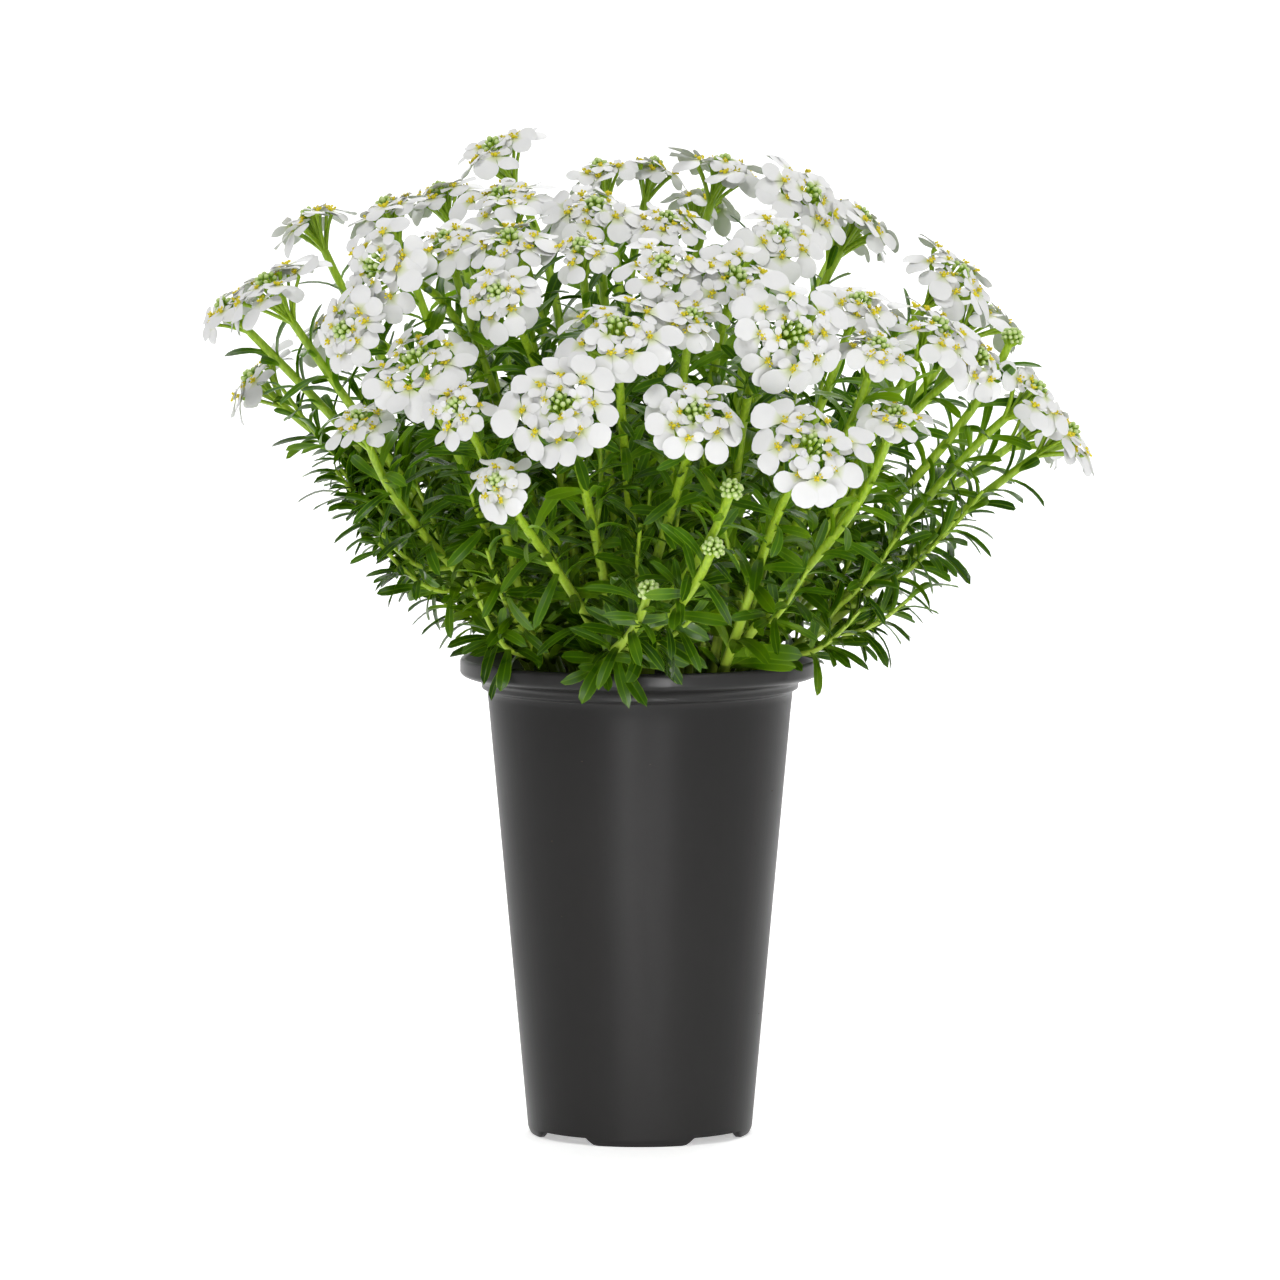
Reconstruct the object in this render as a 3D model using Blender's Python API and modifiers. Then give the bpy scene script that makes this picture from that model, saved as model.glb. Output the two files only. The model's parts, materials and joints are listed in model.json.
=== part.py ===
# Candytuft in a tall round nursery pot, in flower.
# Metres, +Z up, the front towards -Y. The origin is on the ground under the pot's axis.

import math
import random

import bmesh
import bpy
from mathutils import Matrix, Vector
from mathutils.bvhtree import BVHTree

MM = 0.001
GAP = 0.3 * MM
# Corners that a union leaves closer than this are joined
SLIVER = 0.004 * MM
UP = Vector((0, 0, 1))
GOLDEN_TURN = math.radians(137.5)

# Pot: a thin moulded shell with a turned-out rim, a short neck band and four feet
POT_HEIGHT = 109 * MM
RIM_RADIUS = 41 * MM
RIM_BAND = 3.7 * MM
NECK_RADIUS = 36.1 * MM
NECK_BAND = 2.2 * MM
BODY_TOP_RADIUS = 35.5 * MM
BODY_BASE_RADIUS = 25.5 * MM
WALL = 1.1 * MM
POT_SIDES = 32
FOOT_HEIGHT = 2.8 * MM
FOOT_FLAT_ANGLE = math.radians(24)
FOOT_TOP_ANGLE = math.radians(35)
FLOOR_UNDER = 3.5 * MM
FLOOR_TOP = 4.7 * MM
DRAIN_RADIUS = 3 * MM
DRAIN_RING = 16 * MM

# Soil: fills the pot to a little under the rim
SOIL_TOP = 102.5 * MM
SOIL_BUMP = 0.5 * MM
SOIL_SIDES = 16
SOIL_RINGS = 3

# Stems: a low woody crown in the soil, and a branch for each flower head or cluster of buds
CROWN_SUNK = 6 * MM
CROWN_EDGE = 2 * MM
CROWN_RISE = 5.5 * MM
CROWN_MARGIN = 1.35 * MM
CROWN_SPACING = 2.7 * MM
CROWN_SIDES = 6
BRANCH_START = 1.6 * MM
BRANCH_RADIUS = 1.15 * MM
BRANCH_TOP_RADIUS = 0.9 * MM
BRANCH_STEPS = 4
BRANCH_SIDES = 4
# A branch leaves the crown between its heading and its end, and meets its head straight on
LOW_HANDLE = 0.38
HIGH_HANDLE = 0.32

# Flower heads: a dome of buds with a ring of florets, above a star of short stalks
FLORET_THICK = 1.3 * MM
FLORET_CROWN = 0.25 * MM
FLORET_TILT = math.radians(22)
FLORET_TWIST = math.radians(17)
FLORET_DROOP = 0.16
CORE_SHARE = 0.31
CORE_LOW = -1.8 * MM
CORE_HIGH = 0.9 * MM
CORE_BOTTOM = -2.6 * MM
DOME_TOP = 2.6 * MM
STALK_TIP = -1.5 * MM
STALK_VALLEY = -3.2 * MM
STALK_MIDDLE = -3.3 * MM
STALK_SHARE = 0.62
VALLEY_SHARE = 0.36
# Half a floret from above, as (angle from outwards in degrees, reach as a share): a notch, a
# large outer petal with two points, a notch and a small inner petal with one
FLORET_HALF = [(0, 0.34), (18, 0.93), (57, 0.95), (86, 0.30), (114, 0.56)]
CLAW = (180, 0.75)

# Leaves: narrow, blunt, arching, with a keel below
LEAF_LENGTH = 13.5 * MM
LEAF_WIDTH = 3.3 * MM
LEAF_KEEL = 0.8 * MM
LEAF_SPACING = 36 * MM
LEAF_LOWEST = 0.10
LEAF_REACH = 0.72
LEAF_ROOT = 0.28
LEAF_TRIES = 10
HEAD_TRIES = 8
BUD_RADIUS = 3.4 * MM

SEED = 7

# Each stem: foot on the soil as (x, y), heading as (turn from +X, rise) in degrees, and its ends.
# A bloom is one or more flower heads that grow together, each (x, y, z, radius, rise):
# the middle of the head, its radius and how far it faces up from level, in mm and degrees.
# Buds are (x, y, z). The heads face away from a point a little behind the pot's axis.
FOCUS_Y = 20
STEMS = {
    "left_far": {
        "foot": (-23, 3), "heading": (178, 60),
        "blooms": [[(-84, -9, 194, 15, 55), (-94, 5, 188, 10, 45)]],
        "buds": [],
    },
    "left_front": {
        "foot": (-20, -13), "heading": (215, 62),
        "blooms": [
            [(-58, -48, 200, 14, 15), (-65, -52, 186, 11, 15)],
            [(-49, -66, 180, 15, 50), (-40, -80, 171, 10, 35)],
            [(-62, -52, 166, 10, 60)],
        ],
        "buds": [],
    },
    "left_back": {
        "foot": (-19, 15), "heading": (145, 70),
        "blooms": [[(-76, 35, 207, 11, 65)], [(-58, 22, 210, 11, 70), (-46, 34, 213, 11, 70)]],
        "buds": [],
    },
    "top_left": {
        "foot": (-11, -1), "heading": (200, 80),
        "blooms": [
            [(-33, 10, 224, 13, 60)],
            [(-31, -18, 214, 13, 60)],
            [(-43, -38, 205, 12, 65), (-29, -50, 206, 12, 60)],
            [(-31, -67, 195, 11, 30)],
        ],
        "buds": [],
    },
    "centre": {
        "foot": (-1, -8), "heading": (262, 80),
        "blooms": [
            [(-5, -80, 188, 15, 50), (11, -73, 190, 10, 50)],
            [(-13, -54, 204, 10, 62)],
            [(-10, -28, 212, 13, 62), (6, -30, 209, 11, 62)],
            [(-9, 12, 219, 10, 75), (3, 21, 219, 10, 75)],
        ],
        "buds": [],
    },
    "low_centre": {
        "foot": (-4, -24), "heading": (268, 48),
        "blooms": [[(-17, -92, 172, 15, 30)], [(-31, -85, 155, 9, 30)], [(12, -87, 170, 13, 35)]],
        "buds": [],
    },
    "centre_right": {
        "foot": (9, -1), "heading": (300, 82),
        "blooms": [
            [(21, -60, 198, 13, 45), (5, -62, 201, 11, 45)],
            [(19, 12, 220, 13, 70)],
            [(14, 42, 211, 11, 68)],
        ],
        "buds": [],
    },
    "right_top": {
        "foot": (15, -11), "heading": (320, 72),
        "blooms": [
            [(38, -5, 214, 15, 40)],
            [(31, -36, 206, 13, 55)],
            [(33, -77, 187, 15, 15)],
            [(48, -52, 192, 11, 60), (52, -66, 183, 11, 60)],
        ],
        "buds": [],
    },
    "right_front": {
        "foot": (17, -22), "heading": (302, 55),
        "blooms": [[(37, -90, 163, 15, 35)], [(56, -66, 168, 10, 60)]],
        "buds": [],
    },
    "right_upper": {
        "foot": (24, -2), "heading": (350, 64),
        "blooms": [
            [(71, -18, 197, 15, 45)],
            [(50, 14, 208, 12, 60)],
            [(66, -42, 186, 13, 50), (75, -34, 179, 12, 35)],
        ],
        "buds": [(84, -14, 183)],
    },
    "right_far": {
        "foot": (25, -12), "heading": (345, 30),
        "blooms": [[(89, -13, 170, 13, 40), (97, -2, 160, 12, 35)]],
        "buds": [],
    },
    "front_bud": {
        "foot": (-15, -25), "heading": (310, 36),
        "blooms": [],
        "buds": [(20, -88, 154), (16, -84, 141), (2, -76, 131)],
    },
    "back_left": {
        "foot": (-14, 23), "heading": (130, 62),
        "blooms": [[(-40, 68, 198, 15, 55)], [(-70, 55, 183, 15, 50)], [(-89, 31, 170, 13, 40)]],
        "buds": [],
    },
    "back_mid": {
        "foot": (-1, 25), "heading": (95, 66),
        "blooms": [[(-12, 62, 207, 14, 60)], [(-8, 88, 178, 15, 40)], [(-42, 84, 165, 15, 35)]],
        "buds": [],
    },
    "back_right": {
        "foot": (12, 21), "heading": (60, 66),
        "blooms": [
            [(24, 70, 195, 15, 55)],
            [(48, 44, 205, 14, 60)],
            [(61, 62, 179, 15, 45)],
            [(28, 91, 163, 14, 35)],
        ],
        "buds": [],
    },
    "back_far_right": {
        "foot": (24, 11), "heading": (25, 58),
        "blooms": [[(78, 27, 187, 15, 55)], [(92, 27, 160, 13, 35)]],
        "buds": [],
    },
}


def clear_scene():
    for obj in list(bpy.data.objects):
        bpy.data.objects.remove(obj, do_unlink=True)


def new_collection(name):
    made = bpy.data.collections.new(name)
    bpy.context.scene.collection.children.link(made)
    return made


def make_material(name, color, roughness, metallic=0.0):
    material = bpy.data.materials.new(name)
    material.use_nodes = True
    shader = material.node_tree.nodes["Principled BSDF"]
    shader.inputs["Base Color"].default_value = (*color, 1)
    shader.inputs["Roughness"].default_value = roughness
    shader.inputs["Metallic"].default_value = metallic
    return material


def mesh_object(name, mesh, collection, material=None):
    made = bpy.data.objects.new(name, mesh)
    collection.objects.link(made)
    if material:
        mesh.materials.append(material)
    return made


def as_cutter(obj):
    obj.hide_render = True
    obj.display_type = "WIRE"
    return obj


def cut(obj, cutter):
    modifier = obj.modifiers.new(cutter.name, "BOOLEAN")
    modifier.operation = "DIFFERENCE"
    modifier.object = cutter


def settle(obj):
    # Turns an object's modifiers into its own mesh
    graph = bpy.context.evaluated_depsgraph_get()
    mesh = bpy.data.meshes.new_from_object(obj.evaluated_get(graph))
    obj.modifiers.clear()
    obj.data = mesh


# Pot

def pot_profile():
    taper = (BODY_TOP_RADIUS - BODY_BASE_RADIUS) / POT_HEIGHT
    rim_under = POT_HEIGHT - RIM_BAND
    neck_top = rim_under - 1.5 * MM
    neck_foot = neck_top - NECK_BAND
    inner_top = BODY_TOP_RADIUS - WALL
    return [
        (0, FLOOR_TOP),
        (BODY_BASE_RADIUS - WALL + taper * FLOOR_TOP, FLOOR_TOP),
        (inner_top - taper * (POT_HEIGHT - neck_foot), neck_foot),
        (NECK_RADIUS - WALL, neck_top),
        (RIM_RADIUS - 2 * WALL, rim_under + 1.2 * MM),
        (RIM_RADIUS - WALL, POT_HEIGHT),
        (RIM_RADIUS - 0.3 * MM, POT_HEIGHT),
        (RIM_RADIUS, POT_HEIGHT - 0.5 * MM),
        (RIM_RADIUS, rim_under),
        (RIM_RADIUS - 0.8 * MM, rim_under - 0.6 * MM),
        (NECK_RADIUS, neck_top),
        (NECK_RADIUS, neck_foot + 0.5 * MM),
        (BODY_TOP_RADIUS - taper * (POT_HEIGHT - neck_foot), neck_foot),
        (BODY_BASE_RADIUS + taper * FOOT_HEIGHT, FOOT_HEIGHT * 0.5),
        (BODY_BASE_RADIUS - 0.5 * MM, 0),
        (BODY_BASE_RADIUS - 1.6 * MM, 0),
        (BODY_BASE_RADIUS - 1.6 * MM, FLOOR_UNDER),
        (0, FLOOR_UNDER),
    ]


def turned(name, profile, sides, collection, material):
    mesh = bpy.data.meshes.new(name)
    points = [(radius, 0, height) for radius, height in profile]
    edges = [(i, i + 1) for i in range(len(points) - 1)]
    mesh.from_pydata(points, edges, [])
    made = mesh_object(name, mesh, collection, material)
    screw = made.modifiers.new("turn", "SCREW")
    screw.steps = sides
    screw.render_steps = sides
    screw.use_merge_vertices = True
    screw.merge_threshold = 0.01 * MM
    return made


def notch_cutter(index, cutters):
    # The gap between two feet: wide at the ground, narrow at its top
    middle = math.radians(45 + 90 * index)
    reach = BODY_BASE_RADIUS
    low_half = reach * math.sin(math.radians(45) - FOOT_FLAT_ANGLE)
    high_half = reach * math.sin(math.radians(45) - FOOT_TOP_ANGLE)
    form = bmesh.new()
    bmesh.ops.create_cube(form, size=1)
    for vert in form.verts:
        high = vert.co.z > 0
        half = high_half if high else low_half
        if not high:
            half *= 1.5
        vert.co = (
            reach + (5 * MM if vert.co.x > 0 else -6 * MM),
            math.copysign(half, vert.co.y),
            FOOT_HEIGHT if high else -FOOT_HEIGHT,
        )
    form.transform(Matrix.Rotation(middle, 4, "Z"))
    mesh = bpy.data.meshes.new(f"foot_gap_{index + 1}")
    form.to_mesh(mesh)
    form.free()
    return as_cutter(mesh_object(mesh.name, mesh, cutters))


def drain_cutter(index, cutters):
    turn = math.radians(90 * index)
    form = bmesh.new()
    bmesh.ops.create_cone(
        form, cap_ends=True, segments=8, radius1=DRAIN_RADIUS, radius2=DRAIN_RADIUS, depth=8 * MM
    )
    form.transform(
        Matrix.Translation(
            (DRAIN_RING * math.cos(turn), DRAIN_RING * math.sin(turn), FLOOR_TOP)
        )
    )
    mesh = bpy.data.meshes.new(f"drain_{index + 1}")
    form.to_mesh(mesh)
    form.free()
    return as_cutter(mesh_object(mesh.name, mesh, cutters))


def make_pot(parts, cutters, material):
    pot = turned("pot", pot_profile(), POT_SIDES, parts, material)
    for index in range(4):
        cut(pot, notch_cutter(index, cutters))
        cut(pot, drain_cutter(index, cutters))
    settle(pot)
    pot.data.shade_smooth()
    pot.data.set_sharp_from_angle(angle=math.radians(35))
    return pot


# Soil

def soil_surface(x, y):
    return SOIL_TOP + SOIL_BUMP * math.sin(x / (3.1 * MM)) * math.cos(y / (3.7 * MM) + 1)


def inner_radius(height):
    # The inside of the pot's wall at this height
    taper = (BODY_TOP_RADIUS - BODY_BASE_RADIUS) / POT_HEIGHT
    return BODY_BASE_RADIUS - WALL + taper * height


def make_soil(parts, cutters, material):
    bottom = FLOOR_TOP + GAP
    facet = math.cos(math.pi / POT_SIDES)
    form = bmesh.new()
    rings = []
    for ring in range(1, SOIL_RINGS + 1):
        radius = (inner_radius(SOIL_TOP) * facet - GAP) * ring / SOIL_RINGS
        turns = [math.tau * (side + ring / 2) / SOIL_SIDES for side in range(SOIL_SIDES)]
        places = [(radius * math.cos(turn), radius * math.sin(turn)) for turn in turns]
        last = ring == SOIL_RINGS
        rings.append([form.verts.new((x, y, SOIL_TOP if last else soil_surface(x, y)))
                      for x, y in places])
    base_radius = inner_radius(bottom) * facet - GAP
    outer = rings[-1]
    scale = base_radius / outer[0].co.xy.length
    rings.append([form.verts.new((v.co.x * scale, v.co.y * scale, bottom)) for v in outer])
    top = form.verts.new((0, 0, soil_surface(0, 0)))
    for side in range(SOIL_SIDES):
        after = (side + 1) % SOIL_SIDES
        form.faces.new((top, rings[0][side], rings[0][after]))
        for inner, outer in zip(rings, rings[1:]):
            form.faces.new((inner[side], outer[side], outer[after]))
            form.faces.new((inner[side], outer[after], inner[after]))
    form.faces.new(list(reversed(rings[-1])))
    mesh = bpy.data.meshes.new("soil")
    form.to_mesh(mesh)
    form.free()
    soil = mesh_object("soil", mesh, parts, material)
    for name, plan in STEMS.items():
        x, y = plan["foot"]
        foot = Matrix.Translation((x * MM, y * MM, SOIL_TOP))
        radius = crown_radius(plan) + GAP
        hole = bmesh.new()
        bmesh.ops.create_cone(
            hole, cap_ends=True, segments=CROWN_SIDES, radius1=radius, radius2=radius,
            depth=2 * (CROWN_SUNK + GAP), matrix=foot @ Matrix.Rotation(math.pi / 2, 4, "Z"),
        )
        shape = bpy.data.meshes.new(f"hole_{name}")
        hole.to_mesh(shape)
        hole.free()
        cut(soil, as_cutter(mesh_object(shape.name, shape, cutters)))
    settle(soil)
    return soil


# Shells are (points, faces), made before any object so that they can be tested for clearance

def placed(shell, matrix):
    points, faces = shell
    return [matrix @ Vector(point) for point in points], faces


def tree_of(shell):
    return BVHTree.FromPolygons([tuple(point) for point in shell[0]], shell[1])


def turned_towards(direction, spin=0.0):
    # A rotation whose Z runs along the direction
    return direction.to_track_quat("Z", "Y").to_matrix().to_4x4() @ Matrix.Rotation(spin, 4, "Z")


def loft(rings, first, last):
    # Joins rings of any number of points each, closed by a point at each end
    points = [first]
    starts = []
    for ring in rings:
        starts.append(len(points))
        points += ring
    points.append(last)
    faces = []
    low = len(rings[0])
    faces += [(0, 1 + (side + 1) % low, 1 + side) for side in range(low)]
    for step in range(len(rings) - 1):
        below, above = len(rings[step]), len(rings[step + 1])
        for corner in range(above):
            near = round(corner * below / above)
            after = round((corner + 1) * below / above)
            here = starts[step] + near % below
            top = starts[step + 1] + corner
            next_top = starts[step + 1] + (corner + 1) % above
            faces.append((here, next_top, top))
            if after != near:
                faces.append((here, starts[step] + after % below, next_top))
    high = len(rings[-1])
    top = starts[-1]
    faces += [(top + side, top + (side + 1) % high, len(points) - 1) for side in range(high)]
    return points, faces


# Flower heads

def floret_size(radius):
    return 0.34 * radius + 2.3 * MM


def floret_count(radius):
    if radius < 10.5 * MM:
        return 4
    if radius < 13.5 * MM:
        return 5
    return 6


def floret_ring(radius):
    # Radius of the ring on which the florets stand
    return radius - 0.93 * floret_size(radius)


def floret_outline(size, swell):
    # Seen from above, +X is outwards. The outline runs round to the left and droops
    right = [(-turn, reach) for turn, reach in reversed(FLORET_HALF[1:])]
    outline = []
    for turn, reach in right + FLORET_HALF + [CLAW]:
        length = reach * size + swell
        across = Vector((math.cos(math.radians(turn)), math.sin(math.radians(turn)), 0))
        outline.append(across * length - UP * FLORET_DROOP * size * reach * reach)
    return outline


def floret_ends(swell):
    # The middle of the floret's underside and of its top
    return UP * (FLORET_CROWN - FLORET_THICK - swell), UP * (FLORET_CROWN + swell)


def head_frame(head):
    x, y, z, radius, rise = head
    turn = math.atan2(y - FOCUS_Y, x)
    lift = math.radians(rise)
    facing = Vector(
        (math.cos(turn) * math.cos(lift), math.sin(turn) * math.cos(lift), math.sin(lift))
    )
    return Vector((x, y, z)) * MM, facing, radius * MM


def head_matrix(head, phase):
    middle, facing, _ = head_frame(head)
    return Matrix.Translation(middle) @ turned_towards(facing, phase)


def floret_matrices(head, phase):
    radius = head[3] * MM
    count = floret_count(radius)
    own = (
        Matrix.Translation((floret_ring(radius), 0, 0))
        @ Matrix.Rotation(FLORET_TILT, 4, "Y")
        @ Matrix.Rotation(FLORET_TWIST, 4, "X")
    )
    frame = head_matrix(head, phase)
    return [frame @ Matrix.Rotation(math.tau * index / count, 4, "Z") @ own
            for index in range(count)]


def ring_points(radius, height, count, offset=0.0):
    turns = [math.tau * (corner + offset) / count for corner in range(count)]
    return [(radius * math.cos(turn), radius * math.sin(turn), height) for turn in turns]


def head_shell(head, phase, kept):
    # One closed shell: a dome of buds whose every side opens out into a floret, if that is kept
    radius = head[3] * MM
    count = floret_count(radius)
    frame = head_matrix(head, phase)
    low_ring = ring_points(radius * CORE_SHARE, CORE_LOW, count, 0.5)
    high_ring = ring_points(radius * CORE_SHARE, CORE_HIGH, count, 0.5)
    ends = [(0, 0, CORE_BOTTOM), (0, 0, DOME_TOP)]
    points = [frame @ Vector(point) for point in ends + low_ring + high_ring]
    faces = []
    for index, matrix in enumerate(floret_matrices(head, phase)):
        low_left, low_right = 2 + index, 2 + (index - 1) % count
        left, right = low_left + count, low_right + count
        faces += [(0, low_left, low_right), (1, right, left)]
        if index not in kept:
            faces += [(low_right, low_left, left), (low_right, left, right)]
            continue
        under = len(points)
        top, first = under + 1, under + 2
        outline = floret_outline(floret_size(radius), 0.0)[:-1]
        points += [matrix @ point for point in list(floret_ends(0.0)) + outline]
        last = len(points) - 1
        for corner in range(first, last):
            faces += [(top, corner, corner + 1), (under, corner + 1, corner)]
        faces += [(top, last, left), (top, left, right), (top, right, first)]
        faces += [(under, low_left, last), (under, low_right, low_left), (under, first, low_right)]
        faces += [(last, low_left, left), (first, right, low_right)]
    return points, faces


def star_ring(head, phase):
    # The ends of the short stalks, one under each floret, with valleys between them
    radius = head[3] * MM
    count = floret_count(radius)
    reach = floret_ring(radius)
    tips = ring_points(reach, STALK_TIP, count)
    valleys = ring_points(reach * VALLEY_SHARE, STALK_VALLEY, count, 0.5)
    ring = [point for pair in zip(tips, valleys) for point in pair]
    matrix = head_matrix(head, phase)
    return [matrix @ Vector(point) for point in ring], matrix @ Vector((0, 0, STALK_MIDDLE))


def stem_end(head):
    middle, facing, radius = head_frame(head)
    return middle - facing * (STALK_SHARE * radius + 2 * MM), facing


# Leaves

def leaf_shell(root, heading, length, width, droop, swell=0.0, start=0.0):
    # A blade on an arched midline; the part before start is left out when it is tested
    side = heading.cross(UP).normalized()
    rings = []
    for share, spread in ((0.34, 0.62), (0.80, 1.0)):
        share = start + (1 - start) * share
        middle = root + heading * length * share - UP * droop * length * share * share
        tangent = (heading - UP * 2 * droop * share).normalized()
        normal = side.cross(tangent)
        half = width * spread / 2 + swell
        edge = middle + normal * (0.2 * MM + swell)
        rings.append([
            edge + side * half,
            middle - normal * (LEAF_KEEL + swell),
            edge - side * half,
        ])
    first = root + heading * length * start - UP * droop * length * start * start
    tip = root + heading * (length + swell) - UP * droop * length
    return loft(rings, first, tip)


def bezier(start, first, second, end, share):
    rest = 1 - share
    return (
        start * rest**3 + first * 3 * rest * rest * share
        + second * 3 * rest * share * share + end * share**3
    )


def branch_line(start, heading, end, facing):
    reach = (end - start).length
    away = ((end - start).normalized() + heading).normalized()
    first = start + away * reach * LOW_HANDLE
    second = end - facing * reach * HIGH_HANDLE
    shares = [step / BRANCH_STEPS for step in range(BRANCH_STEPS + 1)]
    return [bezier(start, first, second, end, share) for share in shares]


def tube_rings(line, radius, top_radius):
    # Rings of points round a line, each square to it
    rings = []
    for index, place in enumerate(line):
        before = line[max(index - 1, 0)]
        after = line[min(index + 1, len(line) - 1)]
        share = index / (len(line) - 1)
        thick = radius + (top_radius - radius) * share
        matrix = Matrix.Translation(place) @ turned_towards((after - before).normalized())
        ring = ring_points(thick, 0, BRANCH_SIDES)
        rings.append([matrix @ Vector(point) for point in ring])
    return rings


def tube_shell(line, radius, top_radius):
    return loft(tube_rings(line, radius, top_radius), line[0], line[-1])


def branch_shell(line, head, phase):
    # A branch that opens into the star of short stalks under its head
    rings = tube_rings(line, BRANCH_RADIUS, BRANCH_TOP_RADIUS)
    star, middle = star_ring(head, phase)
    _, facing, _ = head_frame(head)
    matrix = Matrix.Translation(line[-1]) @ turned_towards(facing, phase)
    rings[-1] = [matrix @ Vector(point) for point in ring_points(BRANCH_TOP_RADIUS, 0, BRANCH_SIDES)]
    return loft(rings + [star], line[0], middle)


def bud_shell(middle, spin):
    rings = []
    for height, reach in ((-0.6, 0.7), (0.15, 1.0), (0.75, 0.62)):
        ring = []
        for side in range(6):
            turn = math.tau * side / 6 + height
            bump = 1.12 if side % 2 == 0 else 0.82
            far = BUD_RADIUS * reach * bump
            ring.append((far * math.cos(turn), far * math.sin(turn), BUD_RADIUS * height))
        rings.append(ring)
    shell = loft(rings, (0, 0, -BUD_RADIUS), (0, 0, BUD_RADIUS * 1.05))
    return placed(shell, Matrix.Translation(middle) @ Matrix.Rotation(spin, 4, "Z"))


def shell_object(name, shell, collection):
    mesh = bpy.data.meshes.new(name)
    mesh.from_pydata([tuple(point) for point in shell[0]], [], shell[1])
    form = bmesh.new()
    form.from_mesh(mesh)
    bmesh.ops.recalc_face_normals(form, faces=form.faces)
    form.to_mesh(mesh)
    form.free()
    return mesh_object(name, mesh, collection)


def fused(name, shells, parts, helpers, material):
    # One Boolean union joins the first shell with all the others
    made = shell_object(name, shells[0], parts)
    made.data.materials.append(material)
    if len(shells) == 1:
        return made
    repeats = bpy.data.collections.new(f"{name}_repeats")
    helpers.children.link(repeats)
    for index, shell in enumerate(shells[1:]):
        shell_object(f"{name}_repeat_{index}", shell, repeats)
    union = made.modifiers.new("union", "BOOLEAN")
    union.operation = "UNION"
    union.operand_type = "COLLECTION"
    union.collection = repeats
    union.solver = "MANIFOLD"
    bpy.context.view_layer.update()
    settle(made)
    for repeat in list(repeats.objects):
        bpy.data.objects.remove(repeat)
    bpy.data.collections.remove(repeats)
    form = bmesh.new()
    form.from_mesh(made.data)
    bmesh.ops.remove_doubles(form, verts=form.verts, dist=SLIVER)
    form.to_mesh(made.data)
    form.free()
    return made


class Standing:
    # What stands already: each entry is (node, piece, low corner, high corner, tree)
    def __init__(self):
        self.entries = []

    def add(self, node, piece, shell):
        low, high = box_of(shell)
        self.entries.append((node, piece, low, high, tree_of(shell)))

    def hits(self, shell, skip):
        # Whether the shell crosses any entry that skip(node, piece) doesn't leave out
        low, high = box_of(shell)
        tree = tree_of(shell)
        for node, piece, other_low, other_high, other in self.entries:
            if skip(node, piece):
                continue
            apart = any(low[i] > other_high[i] or high[i] < other_low[i] for i in range(3))
            if not apart and tree.overlap(other):
                return True
        return False


def box_of(shell):
    low = [min(point[axis] for point in shell[0]) for axis in range(3)]
    high = [max(point[axis] for point in shell[0]) for axis in range(3)]
    return low, high


def ends_of(plan):
    # The heads and buds of a stem, in their order round the crown
    ends = [head for heads in plan["blooms"] for head in heads] + plan["buds"]
    middle_x = sum(end[0] for end in ends) / len(ends)
    middle_y = sum(end[1] for end in ends) / len(ends)
    return sorted(ends, key=lambda end: math.atan2(end[1] - middle_y, end[0] - middle_x))


def crown_spread(plan):
    # Radius of the ring on which the branches leave the crown
    count = len(ends_of(plan))
    return CROWN_SPACING * count / math.tau if count > 1 else 0


def crown_radius(plan):
    return (crown_spread(plan) + CROWN_MARGIN) / math.cos(math.pi / CROWN_SIDES)


def stem_parts(plan):
    # The crown, the lines of its branches up to the ends they carry, and the clusters of buds
    x, y = plan["foot"]
    turn, rise = (math.radians(angle) for angle in plan["heading"])
    heading = Vector(
        (math.cos(turn) * math.cos(rise), math.sin(turn) * math.cos(rise), math.sin(rise))
    )
    foot = Vector((x * MM, y * MM, SOIL_TOP))
    wide = ring_points(crown_radius(plan), -CROWN_SUNK, CROWN_SIDES)
    high = ring_points(crown_radius(plan), CROWN_EDGE, CROWN_SIDES)
    crown = loft([wide, high], (0, 0, -CROWN_SUNK), (0, 0, CROWN_RISE))
    shells = [placed(crown, Matrix.Translation(foot))]
    lines, buds = {}, {}
    ends = ends_of(plan)
    first_turn = math.atan2(ends[0][1] - y, ends[0][0] - x) if len(ends) > 1 else 0
    for index, end in enumerate(ends):
        spot = first_turn + math.tau * index / len(ends)
        start = foot + Vector((math.cos(spot), math.sin(spot), 0)) * crown_spread(plan)
        start += UP * BRANCH_START
        if len(end) > 3:
            lines[end] = branch_line(start, heading, *stem_end(end))
            continue
        middle = Vector(end) * MM
        facing = ((middle - foot).normalized() + UP * 0.6).normalized()
        top = middle - facing * BUD_RADIUS * 0.4
        lines[end] = branch_line(start, heading, top, facing)
        shells.append(tube_shell(lines[end], BRANCH_RADIUS, BRANCH_TOP_RADIUS))
        buds[end] = bud_shell(middle, GOLDEN_TURN * end[0])
    return {"shells": shells + list(buds.values()), "lines": lines, "crown": shells[0], "buds": buds}


def clear_florets(head, phase, standing, bloom):
    # Which florets of a head stand clear of everything but their own bloom
    size = floret_size(head[3] * MM)
    outline = floret_outline(size, GAP)
    under, top = floret_ends(GAP)
    clear = []
    for index, matrix in enumerate(floret_matrices(head, phase)):
        shell = placed(loft([outline], under, top), matrix)
        if not standing.hits(shell, lambda node, piece: node == bloom or piece == head):
            clear.append(index)
    return clear


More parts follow.
